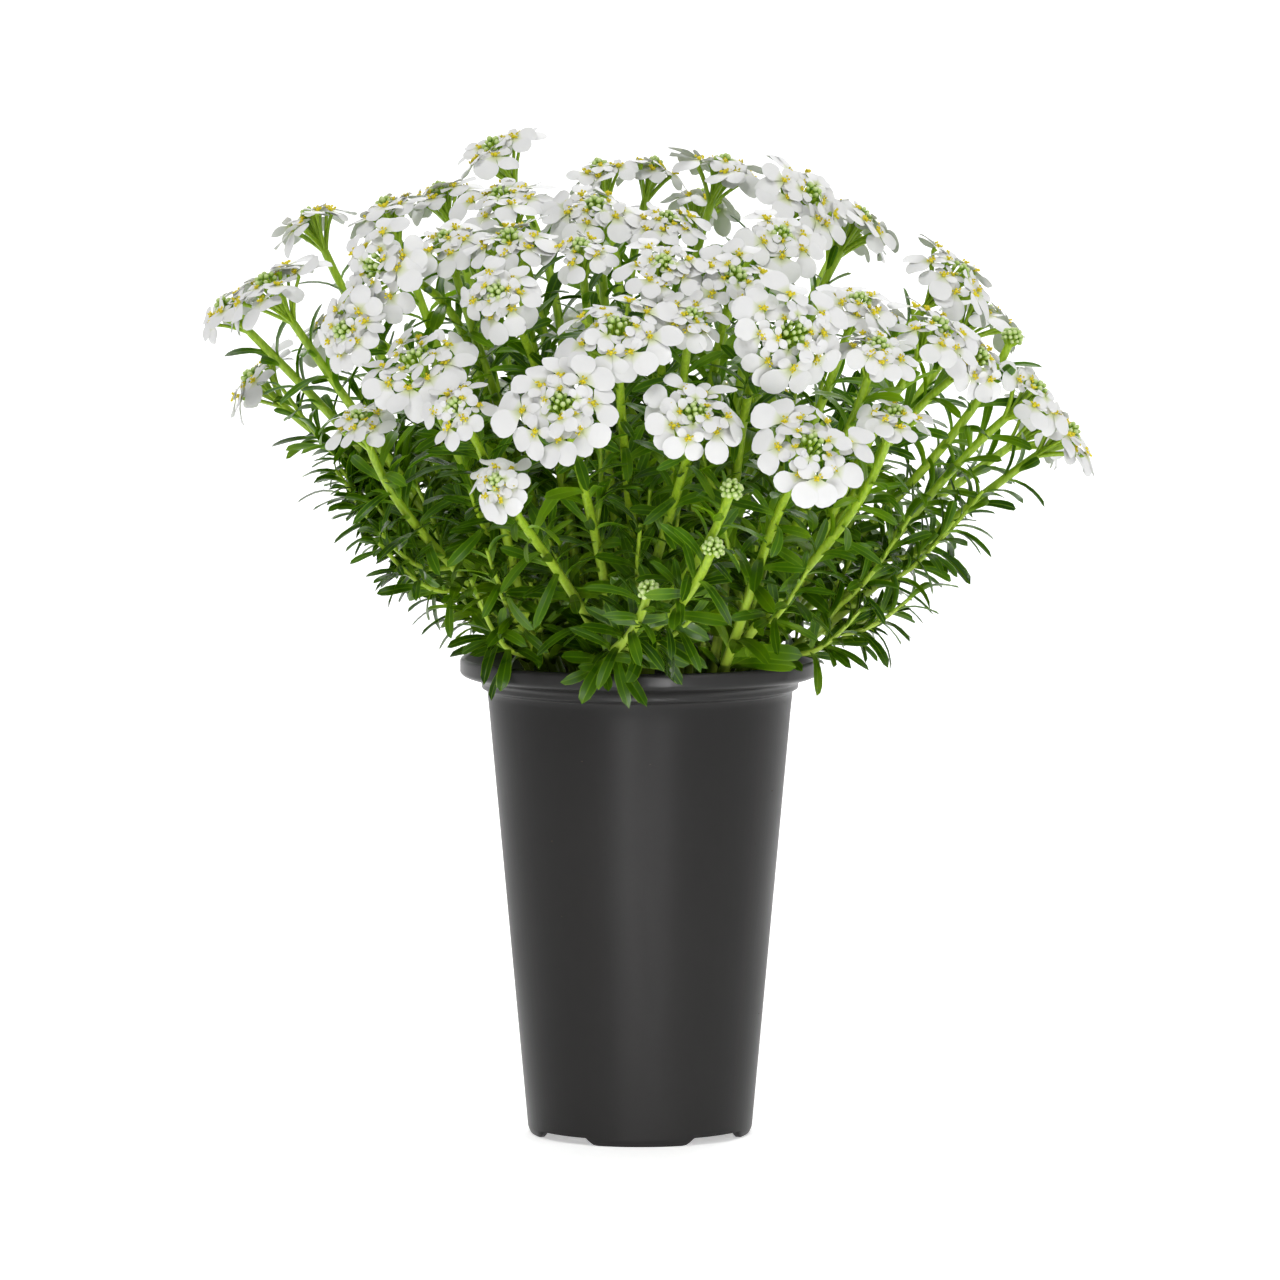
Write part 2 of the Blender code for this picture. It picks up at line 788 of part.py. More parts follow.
def add_head(head, line, bloom, stem, standing, earlier):
    # The head is spun to where its stalks and most of its florets stand clear
    count = floret_count(head[3] * MM)
    best = None
    for step in range(HEAD_TRIES):
        phase = GOLDEN_TURN * head[0] + math.tau / count * step / HEAD_TRIES
        kept = clear_florets(head, phase, standing, bloom)
        shell = head_shell(head, phase, kept)
        branch = branch_shell(line, head, phase)
        joins = earlier is None or bool(tree_of(shell).overlap(tree_of(earlier)))
        free = not standing.hits(branch, lambda node, piece: piece == head or node == stem)
        score = (joins, free, len(kept))
        if best is None or score > best[0]:
            best = (score, shell, branch)
    return best[1], best[2]


def add_leaves(name, lines, standing, draws):
    leaves = []
    for end, line in lines.items():
        turn = draws.uniform(0, math.tau)
        count = round((line[-1] - line[0]).length / LEAF_SPACING)
        for index in range(count):
            turn += GOLDEN_TURN
            for attempt in range(LEAF_TRIES):
                share = LEAF_LOWEST + LEAF_REACH * (index + draws.uniform(0.1, 0.9)) / count
                place = share * (len(line) - 1)
                low = int(place)
                root = line[low].lerp(line[low + 1], place - low)
                along = (line[low + 1] - line[low]).normalized()
                lean = math.radians(draws.uniform(42, 68))
                spin = turn + attempt * math.radians(36) + draws.uniform(-0.3, 0.3)
                length = LEAF_LENGTH * draws.uniform(0.85, 1.12) * (1.08 - 0.35 * share)
                droop = draws.uniform(0.05, 0.45)
                sideways = along.orthogonal().normalized()
                sideways.rotate(Matrix.Rotation(spin, 3, along))
                heading = along * math.cos(lean) + sideways * math.sin(lean)
                whole = leaf_shell(root, heading, length, LEAF_WIDTH, droop, GAP)
                outer = leaf_shell(root, heading, length, LEAF_WIDTH, droop, GAP, LEAF_ROOT)
                if standing.hits(whole, lambda node, piece: node == name and piece == end):
                    continue
                if standing.hits(outer, lambda node, piece: False):
                    continue
                leaf = leaf_shell(root, heading, length, LEAF_WIDTH, droop)
                standing.add(name, "leaf", leaf)
                leaves.append(leaf)
                break
    return leaves


def main():
    clear_scene()
    parts = new_collection("potted_candytuft")
    cutters = new_collection("cutters")
    helpers = new_collection("helpers")
    plastic = make_material("black_plastic", (0.028, 0.027, 0.027), 0.38)
    earth = make_material("soil", (0.030, 0.020, 0.014), 0.95)
    green = make_material("leaf_and_stem", (0.10, 0.26, 0.03), 0.45)
    white = make_material("petal", (0.82, 0.83, 0.80), 0.55)

    standing = Standing()
    for made in (make_pot(parts, cutters, plastic), make_soil(parts, cutters, earth)):
        shell = ([v.co.copy() for v in made.data.vertices],
                 [tuple(p.vertices) for p in made.data.polygons])
        standing.add(made.name, None, shell)
    stems = {name: stem_parts(plan) for name, plan in STEMS.items()}
    for name, stem in stems.items():
        for piece, shell in [("crown", stem["crown"])] + list(stem["buds"].items()):
            standing.add(name, piece, shell)
        for head, line in stem["lines"].items():
            shell = tube_shell(line, BRANCH_RADIUS + GAP, BRANCH_TOP_RADIUS + GAP)
            standing.add(name, head, shell)
    for name, plan in STEMS.items():
        for index, heads in enumerate(plan["blooms"]):
            bloom = f"bloom_{name}_{index + 1}"
            shells = []
            for head in heads:
                earlier = shells[-1] if shells else None
                line = stems[name]["lines"][head]
                shell, branch = add_head(head, line, bloom, name, standing, earlier)
                shells.append(shell)
                standing.add(bloom, head, shell)
                standing.add(name, head, branch)
                stems[name]["shells"].append(branch)
            fused(bloom, shells, parts, helpers, white)
    for index, (name, stem) in enumerate(stems.items()):
        leaves = add_leaves(name, stem["lines"], standing, random.Random(SEED + index))
        fused(f"stem_{name}", stem["shells"] + leaves, parts, helpers, green)


main()
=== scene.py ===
import json
import math
import random

import bmesh
import bpy
from mathutils import Matrix, Vector

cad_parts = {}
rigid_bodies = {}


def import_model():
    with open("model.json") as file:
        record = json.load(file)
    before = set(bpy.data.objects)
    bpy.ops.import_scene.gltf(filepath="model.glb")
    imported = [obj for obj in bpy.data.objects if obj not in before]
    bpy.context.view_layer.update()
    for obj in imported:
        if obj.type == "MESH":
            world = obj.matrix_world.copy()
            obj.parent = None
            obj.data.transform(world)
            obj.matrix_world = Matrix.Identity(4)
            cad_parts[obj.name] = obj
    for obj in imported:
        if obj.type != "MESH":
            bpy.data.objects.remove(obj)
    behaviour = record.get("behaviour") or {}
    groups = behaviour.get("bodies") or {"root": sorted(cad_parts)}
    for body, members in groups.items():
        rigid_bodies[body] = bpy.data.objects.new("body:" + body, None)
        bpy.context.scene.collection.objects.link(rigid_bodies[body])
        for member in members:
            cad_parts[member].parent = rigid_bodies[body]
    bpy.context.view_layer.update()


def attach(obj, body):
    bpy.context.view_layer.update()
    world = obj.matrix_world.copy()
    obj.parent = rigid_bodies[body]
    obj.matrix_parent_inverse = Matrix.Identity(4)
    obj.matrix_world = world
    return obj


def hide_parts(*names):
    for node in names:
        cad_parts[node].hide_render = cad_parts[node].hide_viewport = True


# White candytuft in a tall black nursery pot: the looks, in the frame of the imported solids

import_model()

mm = 0.001
up = Vector((0, 0, 1))
goldenTurn = math.radians(137.5)
scene = bpy.context.scene


# Nodes and sockets

def nodeIn(tree, kind, **values):
    node = tree.nodes.new(kind)
    for key, value in values.items():
        setattr(node, key, value)
    return node


def feed(tree, source, target):
    tree.links.new(source, target)


def setInputs(node, values):
    for label, value in values.items():
        node.inputs[label].default_value = value


def newTree(name, inputs):
    # A geometry tree that takes geometry, the named inputs and a finish
    tree = bpy.data.node_groups.new(name, "GeometryNodeTree")
    shape = ("Geometry", "NodeSocketGeometry")
    for label, kind in (shape, *inputs, ("Finish", "NodeSocketMaterial")):
        tree.interface.new_socket(label, in_out="INPUT", socket_type=kind)
    tree.interface.new_socket(shape[0], in_out="OUTPUT", socket_type=shape[1])
    return tree, nodeIn(tree, "NodeGroupInput"), nodeIn(tree, "NodeGroupOutput")


def endTree(tree, source, given, made, smooth):
    # Each tree ends in real geometry with its finish
    real = nodeIn(tree, "GeometryNodeRealizeInstances")
    feed(tree, source, real.inputs["Geometry"])
    shade = nodeIn(tree, "GeometryNodeSetShadeSmooth")
    setInputs(shade, {"Shade Smooth": smooth})
    feed(tree, real.outputs["Geometry"], shade.inputs["Geometry"])
    finish = nodeIn(tree, "GeometryNodeSetMaterial")
    feed(tree, shade.outputs["Geometry"], finish.inputs["Geometry"])
    feed(tree, given.outputs["Finish"], finish.inputs["Material"])
    feed(tree, finish.outputs["Geometry"], made.inputs["Geometry"])
    return tree


def identifierOf(tree, label):
    for item in tree.interface.items_tree:
        if item.in_out == "INPUT" and item.name == label:
            return item.identifier
    raise KeyError(label)


def intoScene(name, data):
    thing = bpy.data.objects.new(name, data)
    scene.collection.objects.link(thing)
    return thing


def finishedMesh(holder, name):
    # The plain mesh that an object's modifiers make, after which the object goes
    bpy.context.view_layer.update()
    graph = bpy.context.evaluated_depsgraph_get()
    mesh = bpy.data.meshes.new_from_object(holder.evaluated_get(graph))
    mesh.name = name
    bpy.data.objects.remove(holder)
    return mesh


def grown(name, data, tree, values):
    # The plain mesh that a geometry tree makes of some curve or mesh data
    holder = intoScene(f"{name}_source", data)
    modifier = holder.modifiers.new("grow", "NODES")
    modifier.node_group = tree
    for label, value in values.items():
        modifier[identifierOf(tree, label)] = value
    holder.update_tag()
    return finishedMesh(holder, name)


def makeTubeTree():
    # Round tubes along curves, as thick as the radius of each of their points
    tree, given, made = newTree("tubesAlongPaths", [("Sides", "NodeSocketInt")])
    ring = nodeIn(tree, "GeometryNodeCurvePrimitiveCircle")
    setInputs(ring, {"Radius": 1.0})
    feed(tree, given.outputs["Sides"], ring.inputs["Resolution"])
    tube = nodeIn(tree, "GeometryNodeCurveToMesh")
    setInputs(tube, {"Fill Caps": True})
    feed(tree, given.outputs["Geometry"], tube.inputs["Curve"])
    feed(tree, ring.outputs["Curve"], tube.inputs["Profile Curve"])
    feed(tree, nodeIn(tree, "GeometryNodeInputRadius").outputs[0], tube.inputs["Scale"])
    return endTree(tree, tube.outputs["Mesh"], given, made, True)


def makeCopyTree():
    # A copy of one of the shapes at each point, by the point's own kind, turn and size
    tree, given, made = newTree("copiesOnPoints", [("Shapes", "NodeSocketCollection")])
    shapes = nodeIn(tree, "GeometryNodeCollectionInfo")
    setInputs(shapes, {"Separate Children": True, "Reset Children": True})
    feed(tree, given.outputs["Shapes"], shapes.inputs["Collection"])
    read = {}
    for label, kind in (("kind", "INT"), ("turn", "FLOAT_VECTOR"), ("size", "FLOAT_VECTOR")):
        node = nodeIn(tree, "GeometryNodeInputNamedAttribute", data_type=kind)
        setInputs(node, {"Name": label})
        read[label] = node.outputs["Attribute"]
    turn = nodeIn(tree, "FunctionNodeEulerToRotation")
    feed(tree, read["turn"], turn.inputs[0])
    laid = nodeIn(tree, "GeometryNodeInstanceOnPoints")
    setInputs(laid, {"Pick Instance": True})
    feed(tree, given.outputs["Geometry"], laid.inputs["Points"])
    feed(tree, shapes.outputs[0], laid.inputs["Instance"])
    feed(tree, read["kind"], laid.inputs["Instance Index"])
    feed(tree, turn.outputs[0], laid.inputs["Rotation"])
    feed(tree, read["size"], laid.inputs["Scale"])
    return endTree(tree, laid.outputs["Instances"], given, made, True)


tubeTree = makeTubeTree()
copyTree = makeCopyTree()


def tubes(name, paths, sides, finish):
    # Tubes from (points, radii) pairs
    data = bpy.data.curves.new(name, "CURVE")
    data.dimensions = "3D"
    for points, radii in paths:
        spline = data.splines.new("POLY")
        spline.points.add(len(points) - 1)
        for point, place, radius in zip(spline.points, points, radii):
            point.co = (*place, 1)
            point.radius = radius
    return grown(name, data, tubeTree, {"Sides": sides, "Finish": finish})


def copies(name, spots, shapes, finish):
    # spots are (place, rotation matrix, size, kind), and a size is one number or one for each axis
    data = bpy.data.meshes.new(name)
    data.from_pydata([spot[0] for spot in spots], [], [])
    for label, kind in (("turn", "FLOAT_VECTOR"), ("size", "FLOAT_VECTOR"), ("kind", "INT")):
        data.attributes.new(label, kind, "POINT")
    for index, (_, turn, size, kind) in enumerate(spots):
        data.attributes["turn"].data[index].vector = turn.to_euler("XYZ")
        data.attributes["size"].data[index].vector = size if hasattr(size, "__len__") else (size,) * 3
        data.attributes["kind"].data[index].value = kind
    return grown(name, data, copyTree, {"Shapes": shapes, "Finish": finish})


def joinedMesh(name, meshes):
    # One mesh from several, each with its own materials
    whole = bpy.data.meshes.new(name)
    form = bmesh.new()
    for mesh in meshes:
        start, first = len(form.faces), len(whole.materials)
        form.from_mesh(mesh)
        form.faces.ensure_lookup_table()
        for face in form.faces[start:]:
            face.material_index += first
        for material in mesh.materials:
            whole.materials.append(material)
        bpy.data.meshes.remove(mesh)
    form.to_mesh(whole)
    form.free()
    return whole


def pieceFrom(mesh, slot, *nodes):
    piece = intoScene(mesh.name, mesh)
    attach(piece, "root")
    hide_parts(*nodes)


# Effects that several materials share, each a group that is placed with its own values

def newEffect(name, inputs, outputs):
    group = bpy.data.node_groups.new(name, "ShaderNodeTree")
    for label, value in inputs.items():
        socket = group.interface.new_socket(label, in_out="INPUT", socket_type="NodeSocketFloat")
        socket.default_value = value
    for label in outputs:
        group.interface.new_socket(label, in_out="OUTPUT", socket_type="NodeSocketFloat")
    return group, nodeIn(group, "NodeGroupInput"), nodeIn(group, "NodeGroupOutput")


def objectPlace(tree):
    return nodeIn(tree, "ShaderNodeTexCoord").outputs["Object"]


def makeGrainEffect():
    # Cloudy grain of any size. A low upright value draws it out along the height
    group, given, made = newEffect(
        "grain", {"scale": 100.0, "detail": 3.0, "upright": 1.0}, ["pattern"])
    stretch = nodeIn(group, "ShaderNodeMapping")
    shares = nodeIn(group, "ShaderNodeCombineXYZ")
    setInputs(shares, {"X": 1.0, "Y": 1.0})
    feed(group, given.outputs["upright"], shares.inputs["Z"])
    feed(group, shares.outputs["Vector"], stretch.inputs["Scale"])
    feed(group, objectPlace(group), stretch.inputs["Vector"])
    cloud = nodeIn(group, "ShaderNodeTexNoise")
    feed(group, stretch.outputs["Vector"], cloud.inputs["Vector"])
    feed(group, given.outputs["scale"], cloud.inputs["Scale"])
    feed(group, given.outputs["detail"], cloud.inputs["Detail"])
    feed(group, cloud.outputs["Fac"], made.inputs["pattern"])
    return group


def makeRiseEffect():
    # A mask that goes from nothing at the low height to full at the high one
    group, given, made = newEffect("riseByHeight", {"low": 0.0, "high": 1.0}, ["mask"])
    split = nodeIn(group, "ShaderNodeSeparateXYZ")
    feed(group, objectPlace(group), split.inputs[0])
    rise = nodeIn(group, "ShaderNodeMapRange")
    feed(group, split.outputs["Z"], rise.inputs["Value"])
    feed(group, given.outputs["low"], rise.inputs["From Min"])
    feed(group, given.outputs["high"], rise.inputs["From Max"])
    feed(group, rise.outputs["Result"], made.inputs["mask"])
    return group


def makeBladeEffect():
    # Where a point lies on a petal, leaf or bud: along it and out from its midrib
    group, _, made = newEffect("placeOnBlade", {}, ["along", "across"])
    split = nodeIn(group, "ShaderNodeSeparateXYZ")
    feed(group, nodeIn(group, "ShaderNodeUVMap", uv_map="blade").outputs["UV"], split.inputs[0])
    feed(group, split.outputs["X"], made.inputs["along"])
    feed(group, split.outputs["Y"], made.inputs["across"])
    return group


grainEffect = makeGrainEffect()
riseEffect = makeRiseEffect()
bladeEffect = makeBladeEffect()


# Materials

# In each dictionary plain is the colour and roughness of the sockets themselves, under the patterns

def newMaterial(name, color, roughness, values=None):
    material = bpy.data.materials.new(name)
    material.use_nodes = True
    tree = material.node_tree
    shader = tree.nodes["Principled BSDF"]
    setInputs(shader, {"Base Color": (*color, 1), "Roughness": roughness, **(values or {})})
    return material, tree, shader


def effect(tree, group, **values):
    node = nodeIn(tree, "ShaderNodeGroup", node_tree=group)
    setInputs(node, values)
    return node.outputs


def grain(tree, scale, detail=3.0, upright=1.0):
    return effect(tree, grainEffect, scale=scale, detail=detail, upright=upright)["pattern"]


def ramp(tree, factor, stops):
    node = nodeIn(tree, "ShaderNodeValToRGB")
    elements = node.color_ramp.elements
    while len(elements) < len(stops):
        elements.new(0.5)
    for element, (place, color) in zip(elements, stops):
        element.position = place
        element.color = (*color, 1)
    feed(tree, factor, node.inputs["Fac"])
    return node.outputs["Color"]


def mixed(tree, factor, first, second, blend="MIX"):
    node = nodeIn(tree, "ShaderNodeMix", data_type="RGBA", blend_type=blend)
    for label, value in (("Factor", factor), ("A", first), ("B", second)):
        if hasattr(value, "is_linked"):
            feed(tree, value, node.inputs[label])
        else:
            node.inputs[label].default_value = (*value, 1) if isinstance(value, tuple) else value
    return node.outputs["Result"]


def remap(tree, value, low, high, newLow=0.0, newHigh=1.0):
    node = nodeIn(tree, "ShaderNodeMapRange")
    setInputs(node, {"From Min": low, "From Max": high, "To Min": newLow, "To Max": newHigh})
    feed(tree, value, node.inputs["Value"])
    return node.outputs["Result"]


def bump(tree, shader, height, strength, distance=0.2 * mm):
    node = nodeIn(tree, "ShaderNodeBump")
    setInputs(node, {"Strength": strength, "Distance": distance})
    feed(tree, height, node.inputs["Height"])
    feed(tree, node.outputs["Normal"], shader.inputs["Normal"])


petalLook = {
    "plain": ((0.75, 0.76, 0.76), 0.55),
    "claw": (0.55, 0.62, 0.30), "shade": (0.74, 0.745, 0.745), "bright": (0.81, 0.81, 0.80),
    "gloss": 0.3, "glow": 0.12, "glowReach": (0.002, 0.002, 0.0016),
    "clouds": 260, "veins": {"Scale": 3.2, "Distortion": 1.2, "Detail": 1.0}, "veinDepth": 0.12,
}


def petalMaterial():
    look = petalLook
    material, tree, shader = newMaterial("petal white", *look["plain"], {
        "Specular IOR Level": look["gloss"], "Subsurface Weight": look["glow"],
        "Subsurface Radius": look["glowReach"],
    })
    claw = remap(tree, effect(tree, bladeEffect)["along"], 0.04, 0.24)
    body = mixed(tree, grain(tree, look["clouds"]), look["shade"], look["bright"])
    feed(tree, mixed(tree, claw, look["claw"], body), shader.inputs["Base Color"])
    veins = nodeIn(tree, "ShaderNodeTexWave", wave_type="BANDS", bands_direction="Y")
    setInputs(veins, look["veins"])
    feed(tree, nodeIn(tree, "ShaderNodeUVMap", uv_map="blade").outputs["UV"], veins.inputs["Vector"])
    bump(tree, shader, veins.outputs["Fac"], look["veinDepth"])
    return material


leafLook = {
    "plain": ((0.06, 0.18, 0.01), 0.32),
    "blade": [(0.32, (0.022, 0.076, 0.001)), (0.52, (0.066, 0.180, 0.001)),
              (0.72, (0.215, 0.390, 0.003))],
    # The edge colour is a painted highlight along each leaf's margin
    "rib": (0.24, 0.44, 0.012), "edge": (0.28, 0.50, 0.015), "foot": (0.26, 0.48, 0.03),
    # The shade colour is painted shade, multiplied onto the leaves below the shade heights
    "shade": (0.50, 0.50, 0.40), "shadeFrom": 106 * mm, "shadeTo": 168 * mm,
    "patches": 45, "roughness": (0.24, 0.36), "gloss": 0.22,
    "glow": 0.04, "glowReach": (0.0008, 0.002, 0.0004),
}


def leafMaterial():
    # Patchy dark and light green, with a pale midrib and foot, a painted highlight along the edge, and
    # painted shade that darkens the leaves low in the tuft
    look = leafLook
    material, tree, shader = newMaterial("leaf green", *look["plain"], {
        "Specular IOR Level": look["gloss"], "Subsurface Weight": look["glow"],
        "Subsurface Radius": look["glowReach"],
    })
    place = effect(tree, bladeEffect)
    patch = grain(tree, look["patches"], 2.0)
    rib = remap(tree, place["across"], 0.0, 0.16, 0.45, 1.0)
    color = mixed(tree, rib, look["rib"], ramp(tree, patch, look["blade"]))
    # Painted highlight: the pale band along the leaf's edge
    color = mixed(tree, remap(tree, place["across"], 0.80, 1.0, 0.0, 0.7), color, look["edge"])
    color = mixed(tree, remap(tree, place["along"], 0.0, 0.30), look["foot"], color)
    # Painted shade: below these heights the leaf colour is multiplied darker, as if shadowed in the
    # dense tuft
    lit = effect(tree, riseEffect, low=look["shadeFrom"], high=look["shadeTo"])["mask"]
    color = mixed(tree, lit, mixed(tree, 1.0, color, look["shade"], "MULTIPLY"), color)
    feed(tree, color, shader.inputs["Base Color"])
    feed(tree, remap(tree, patch, 0.3, 0.7, *look["roughness"]), shader.inputs["Roughness"])
    bump(tree, shader, rib, 0.35)
    return material


stemLook = {
    "plain": ((0.24, 0.42, 0.03), 0.42),
    "young": [(0.3, (0.25, 0.43, 0.008)), (0.7, (0.42, 0.61, 0.025))],
    "low": ((0.24, 0.36, 0.025), (0.42, 0.56, 0.07)), "youngFrom": 104 * mm, "youngTo": 150 * mm,
    "streaks": 1500, "streakStretch": 0.16, "blotches": 120,
    "glow": 0.06, "glowReach": (0.0012, 0.002, 0.0004),
}


def stemMaterial():
    look = stemLook
    material, tree, shader = newMaterial("stem green", *look["plain"], {
        "Subsurface Weight": look["glow"], "Subsurface Radius": look["glowReach"],
    })
    streaks = grain(tree, look["streaks"], 2.0, look["streakStretch"])
    low = mixed(tree, grain(tree, look["blotches"]), *look["low"])
    lit = effect(tree, riseEffect, low=look["youngFrom"], high=look["youngTo"])["mask"]
    color = mixed(tree, lit, low, ramp(tree, streaks, look["young"]))
    feed(tree, color, shader.inputs["Base Color"])
    bump(tree, shader, streaks, 0.35)
    return material


budLook = {
    "plain": ((0.66, 0.74, 0.46), 0.5),
    "colors": [(0.20, (0.17, 0.36, 0.02)), (0.50, (0.36, 0.54, 0.10)), (0.86, (0.58, 0.68, 0.32))],
    "glow": 0.1, "glowReach": (0.001, 0.001, 0.0006),
}


def budMaterial():
    # Green at the foot of a bud, pale at its top
    look = budLook
    material, tree, shader = newMaterial("bud", *look["plain"], {
        "Subsurface Weight": look["glow"], "Subsurface Radius": look["glowReach"],
    })
    along = effect(tree, bladeEffect)["along"]
    feed(tree, ramp(tree, along, look["colors"]), shader.inputs["Base Color"])
    return material


plasticLook = {
    "plain": ((0.012, 0.0115, 0.0115), 0.36),
    "dark": (0.0100, 0.0096, 0.0094), "light": (0.0145, 0.0140, 0.0136), "gloss": 0.14,
    "roughness": (0.33, 0.42), "clouds": 28, "grain": 2600, "drawn": 900, "drawnStretch": 0.02,
    "relief": 0.12, "reliefDepth": 0.1 * mm,
    "rimCoat": 0.22, "rimCoatRoughness": 0.24, "rimFrom": 100 * mm, "rimTo": 101.2 * mm,
}


def plasticMaterial():
    # Satin plastic with a fine grain and upright draw marks, and a glossier rim
    look = plasticLook
    material, tree, shader = newMaterial("black plastic", *look["plain"], {
        "Specular IOR Level": look["gloss"], "Coat Roughness": look["rimCoatRoughness"],
    })
    cloud = grain(tree, look["clouds"], 4.0)
    feed(tree, mixed(tree, cloud, look["dark"], look["light"]), shader.inputs["Base Color"])
    feed(tree, remap(tree, cloud, 0.3, 0.7, *look["roughness"]), shader.inputs["Roughness"])
    rim = effect(tree, riseEffect, low=look["rimFrom"], high=look["rimTo"])["mask"]
    feed(tree, remap(tree, rim, 0, 1, 0, look["rimCoat"]), shader.inputs["Coat Weight"])
    relief = nodeIn(tree, "ShaderNodeMath", operation="ADD")
    feed(tree, grain(tree, look["grain"], 2.0), relief.inputs[0])
    feed(tree, grain(tree, look["drawn"], 2.0, look["drawnStretch"]), relief.inputs[1])
    bump(tree, shader, relief.outputs[0], look["relief"], look["reliefDepth"])
    return material


def crumbledMaterial(name, first, second, roughness, scale, strength, distance=0.2 * mm):
    material, tree, shader = newMaterial(name, first, roughness)
    pattern = grain(tree, scale)
    color = mixed(tree, remap(tree, pattern, 0.35, 0.65), first, second)
    feed(tree, color, shader.inputs["Base Color"])
    bump(tree, shader, pattern, strength, distance)
    return material


petalFinish = petalMaterial()
leafFinish = leafMaterial()
stemFinish = stemMaterial()
budFinish = budMaterial()
plasticFinish = plasticMaterial()
antherFinish = crumbledMaterial(
    "anther yellow", (0.82, 0.70, 0.012), (0.68, 0.58, 0.014), 0.6, 1800, 0.4)
soilFinish = crumbledMaterial(
    "soil", (0.012, 0.008, 0.006), (0.055, 0.035, 0.022), 0.95, 420, 0.8, 1 * mm)
print("materials made")


# Pot

pot = {
    "height": 109 * mm, "rimRadius": 41 * mm, "rimBand": 3.7 * mm,
    "neckRadius": 36.1 * mm, "neckBand": 2.2 * mm, "neckDrop": 1.5 * mm,
    "bodyTop": 35.5 * mm, "bodyBase": 25.5 * mm, "wall": 1.1 * mm,
    "footHeight": 2.8 * mm, "footFlat": math.radians(23), "footTop": math.radians(35),
    "feet": 4, "footRing": 1.6 * mm, "footBand": 1.6 * mm, "floorUnder": 3.5 * mm, "floorTop": 4.7 * mm,
    "drains": 4, "drainRadius": 3 * mm, "drainRing": 16 * mm, "drillDepth": 8 * mm,
    "cornerRadius": 0.35 * mm, "cornerSteps": 3, "sides": 160,
}


def rounded(profile):
    # The profile with each inner corner rounded off
    points = [profile[0]]
    for before, corner, after in zip(profile, profile[1:], profile[2:]):
        corner = Vector(corner)
        back = Vector(before) - corner
        ahead = Vector(after) - corner
        first = corner + back.normalized() * min(pot["cornerRadius"], back.length * 0.45)
        last = corner + ahead.normalized() * min(pot["cornerRadius"], ahead.length * 0.45)
        for step in range(pot["cornerSteps"] + 1):
            share = step / pot["cornerSteps"]
            points.append(tuple(first.lerp(corner, share).lerp(corner.lerp(last, share), share)))
    points.append(profile[-1])
    return points


def potProfile():
    # From the middle of the floor inside, up the inner wall, over the rim and down to the feet
    taper = (pot["bodyTop"] - pot["bodyBase"]) / pot["height"]
    under = pot["height"] - pot["rimBand"]
    neckTop = under - pot["neckDrop"]
    neckFoot = neckTop - pot["neckBand"]
    wall, rim, neck = pot["wall"], pot["rimRadius"], pot["neckRadius"]
    top, base, foot = pot["bodyTop"], pot["bodyBase"], pot["footRing"]
    return [
        (0.0, pot["floorTop"]),
        (base - wall + taper * pot["floorTop"], pot["floorTop"]),
        (top - wall - taper * (pot["height"] - neckFoot), neckFoot),
        (neck - wall, neckTop),
        (rim - 2 * wall, under + 1.2 * mm),
        (rim - wall, pot["height"]),
        (rim - 0.3 * mm, pot["height"]),  # the lip
        (rim, pot["height"] - 0.6 * mm),
        (rim, under + 0.5 * mm),
        (rim - 0.5 * mm, under - 0.1 * mm),
        (rim - 1.4 * mm, under - 0.5 * mm),
        (neck + 1.0 * mm, neckTop + 0.3 * mm),
        (neck, neckTop - 0.5 * mm),
        (neck, neckFoot + 0.6 * mm),
        (top - taper * (pot["height"] - neckFoot), neckFoot),  # the wall, straight down from here
        (top - 0.05 * mm - taper * 12 * mm, pot["height"] - 12 * mm),
        (base + taper * 8 * mm, 8 * mm),
        (base + taper * 1.4 * mm, 1.4 * mm),
        (base - 0.5 * mm, 0.0),
        (base - foot, 0.0),
        (base - foot, pot["floorUnder"]),
        (0.0, pot["floorUnder"]),
    ]


def footLift(turn):
    # How far the lower edge is raised at this turn: nothing on the feet
    between = math.tau / pot["feet"]
    off = abs((turn + between / 2) % between - between / 2)
    share = min(max((off - pot["footFlat"]) / (pot["footTop"] - pot["footFlat"]), 0), 1)
    return pot["footHeight"] * share * share * (3 - 2 * share)


def potForm():
    form = bmesh.new()
    sides = pot["sides"]
    rows = []
    for radius, height in rounded(potProfile()):
        if radius == 0:
            rows.append([form.verts.new((0, 0, height))])
            continue
        row = []
        for side in range(sides):
            turn = math.tau * side / sides
            lift = footLift(turn) if height < pot["footBand"] else 0
            z = max(height, lift + height * 0.35) if lift else height
            row.append(form.verts.new((radius * math.cos(turn), radius * math.sin(turn), z)))
        rows.append(row)
    for low, high in zip(rows, rows[1:]):
        for side in range(sides):
            after = (side + 1) % sides
            if len(low) == 1:
                form.faces.new((low[0], high[after], high[side]))
            elif len(high) == 1:
                form.faces.new((low[side], low[after], high[0]))
            else:
                form.faces.new((low[side], low[after], high[after], high[side]))
    bmesh.ops.recalc_face_normals(form, faces=form.faces)
    return form


def meshOf(form, name):
    mesh = bpy.data.meshes.new(name)
    form.to_mesh(mesh)
    form.free()
    return mesh


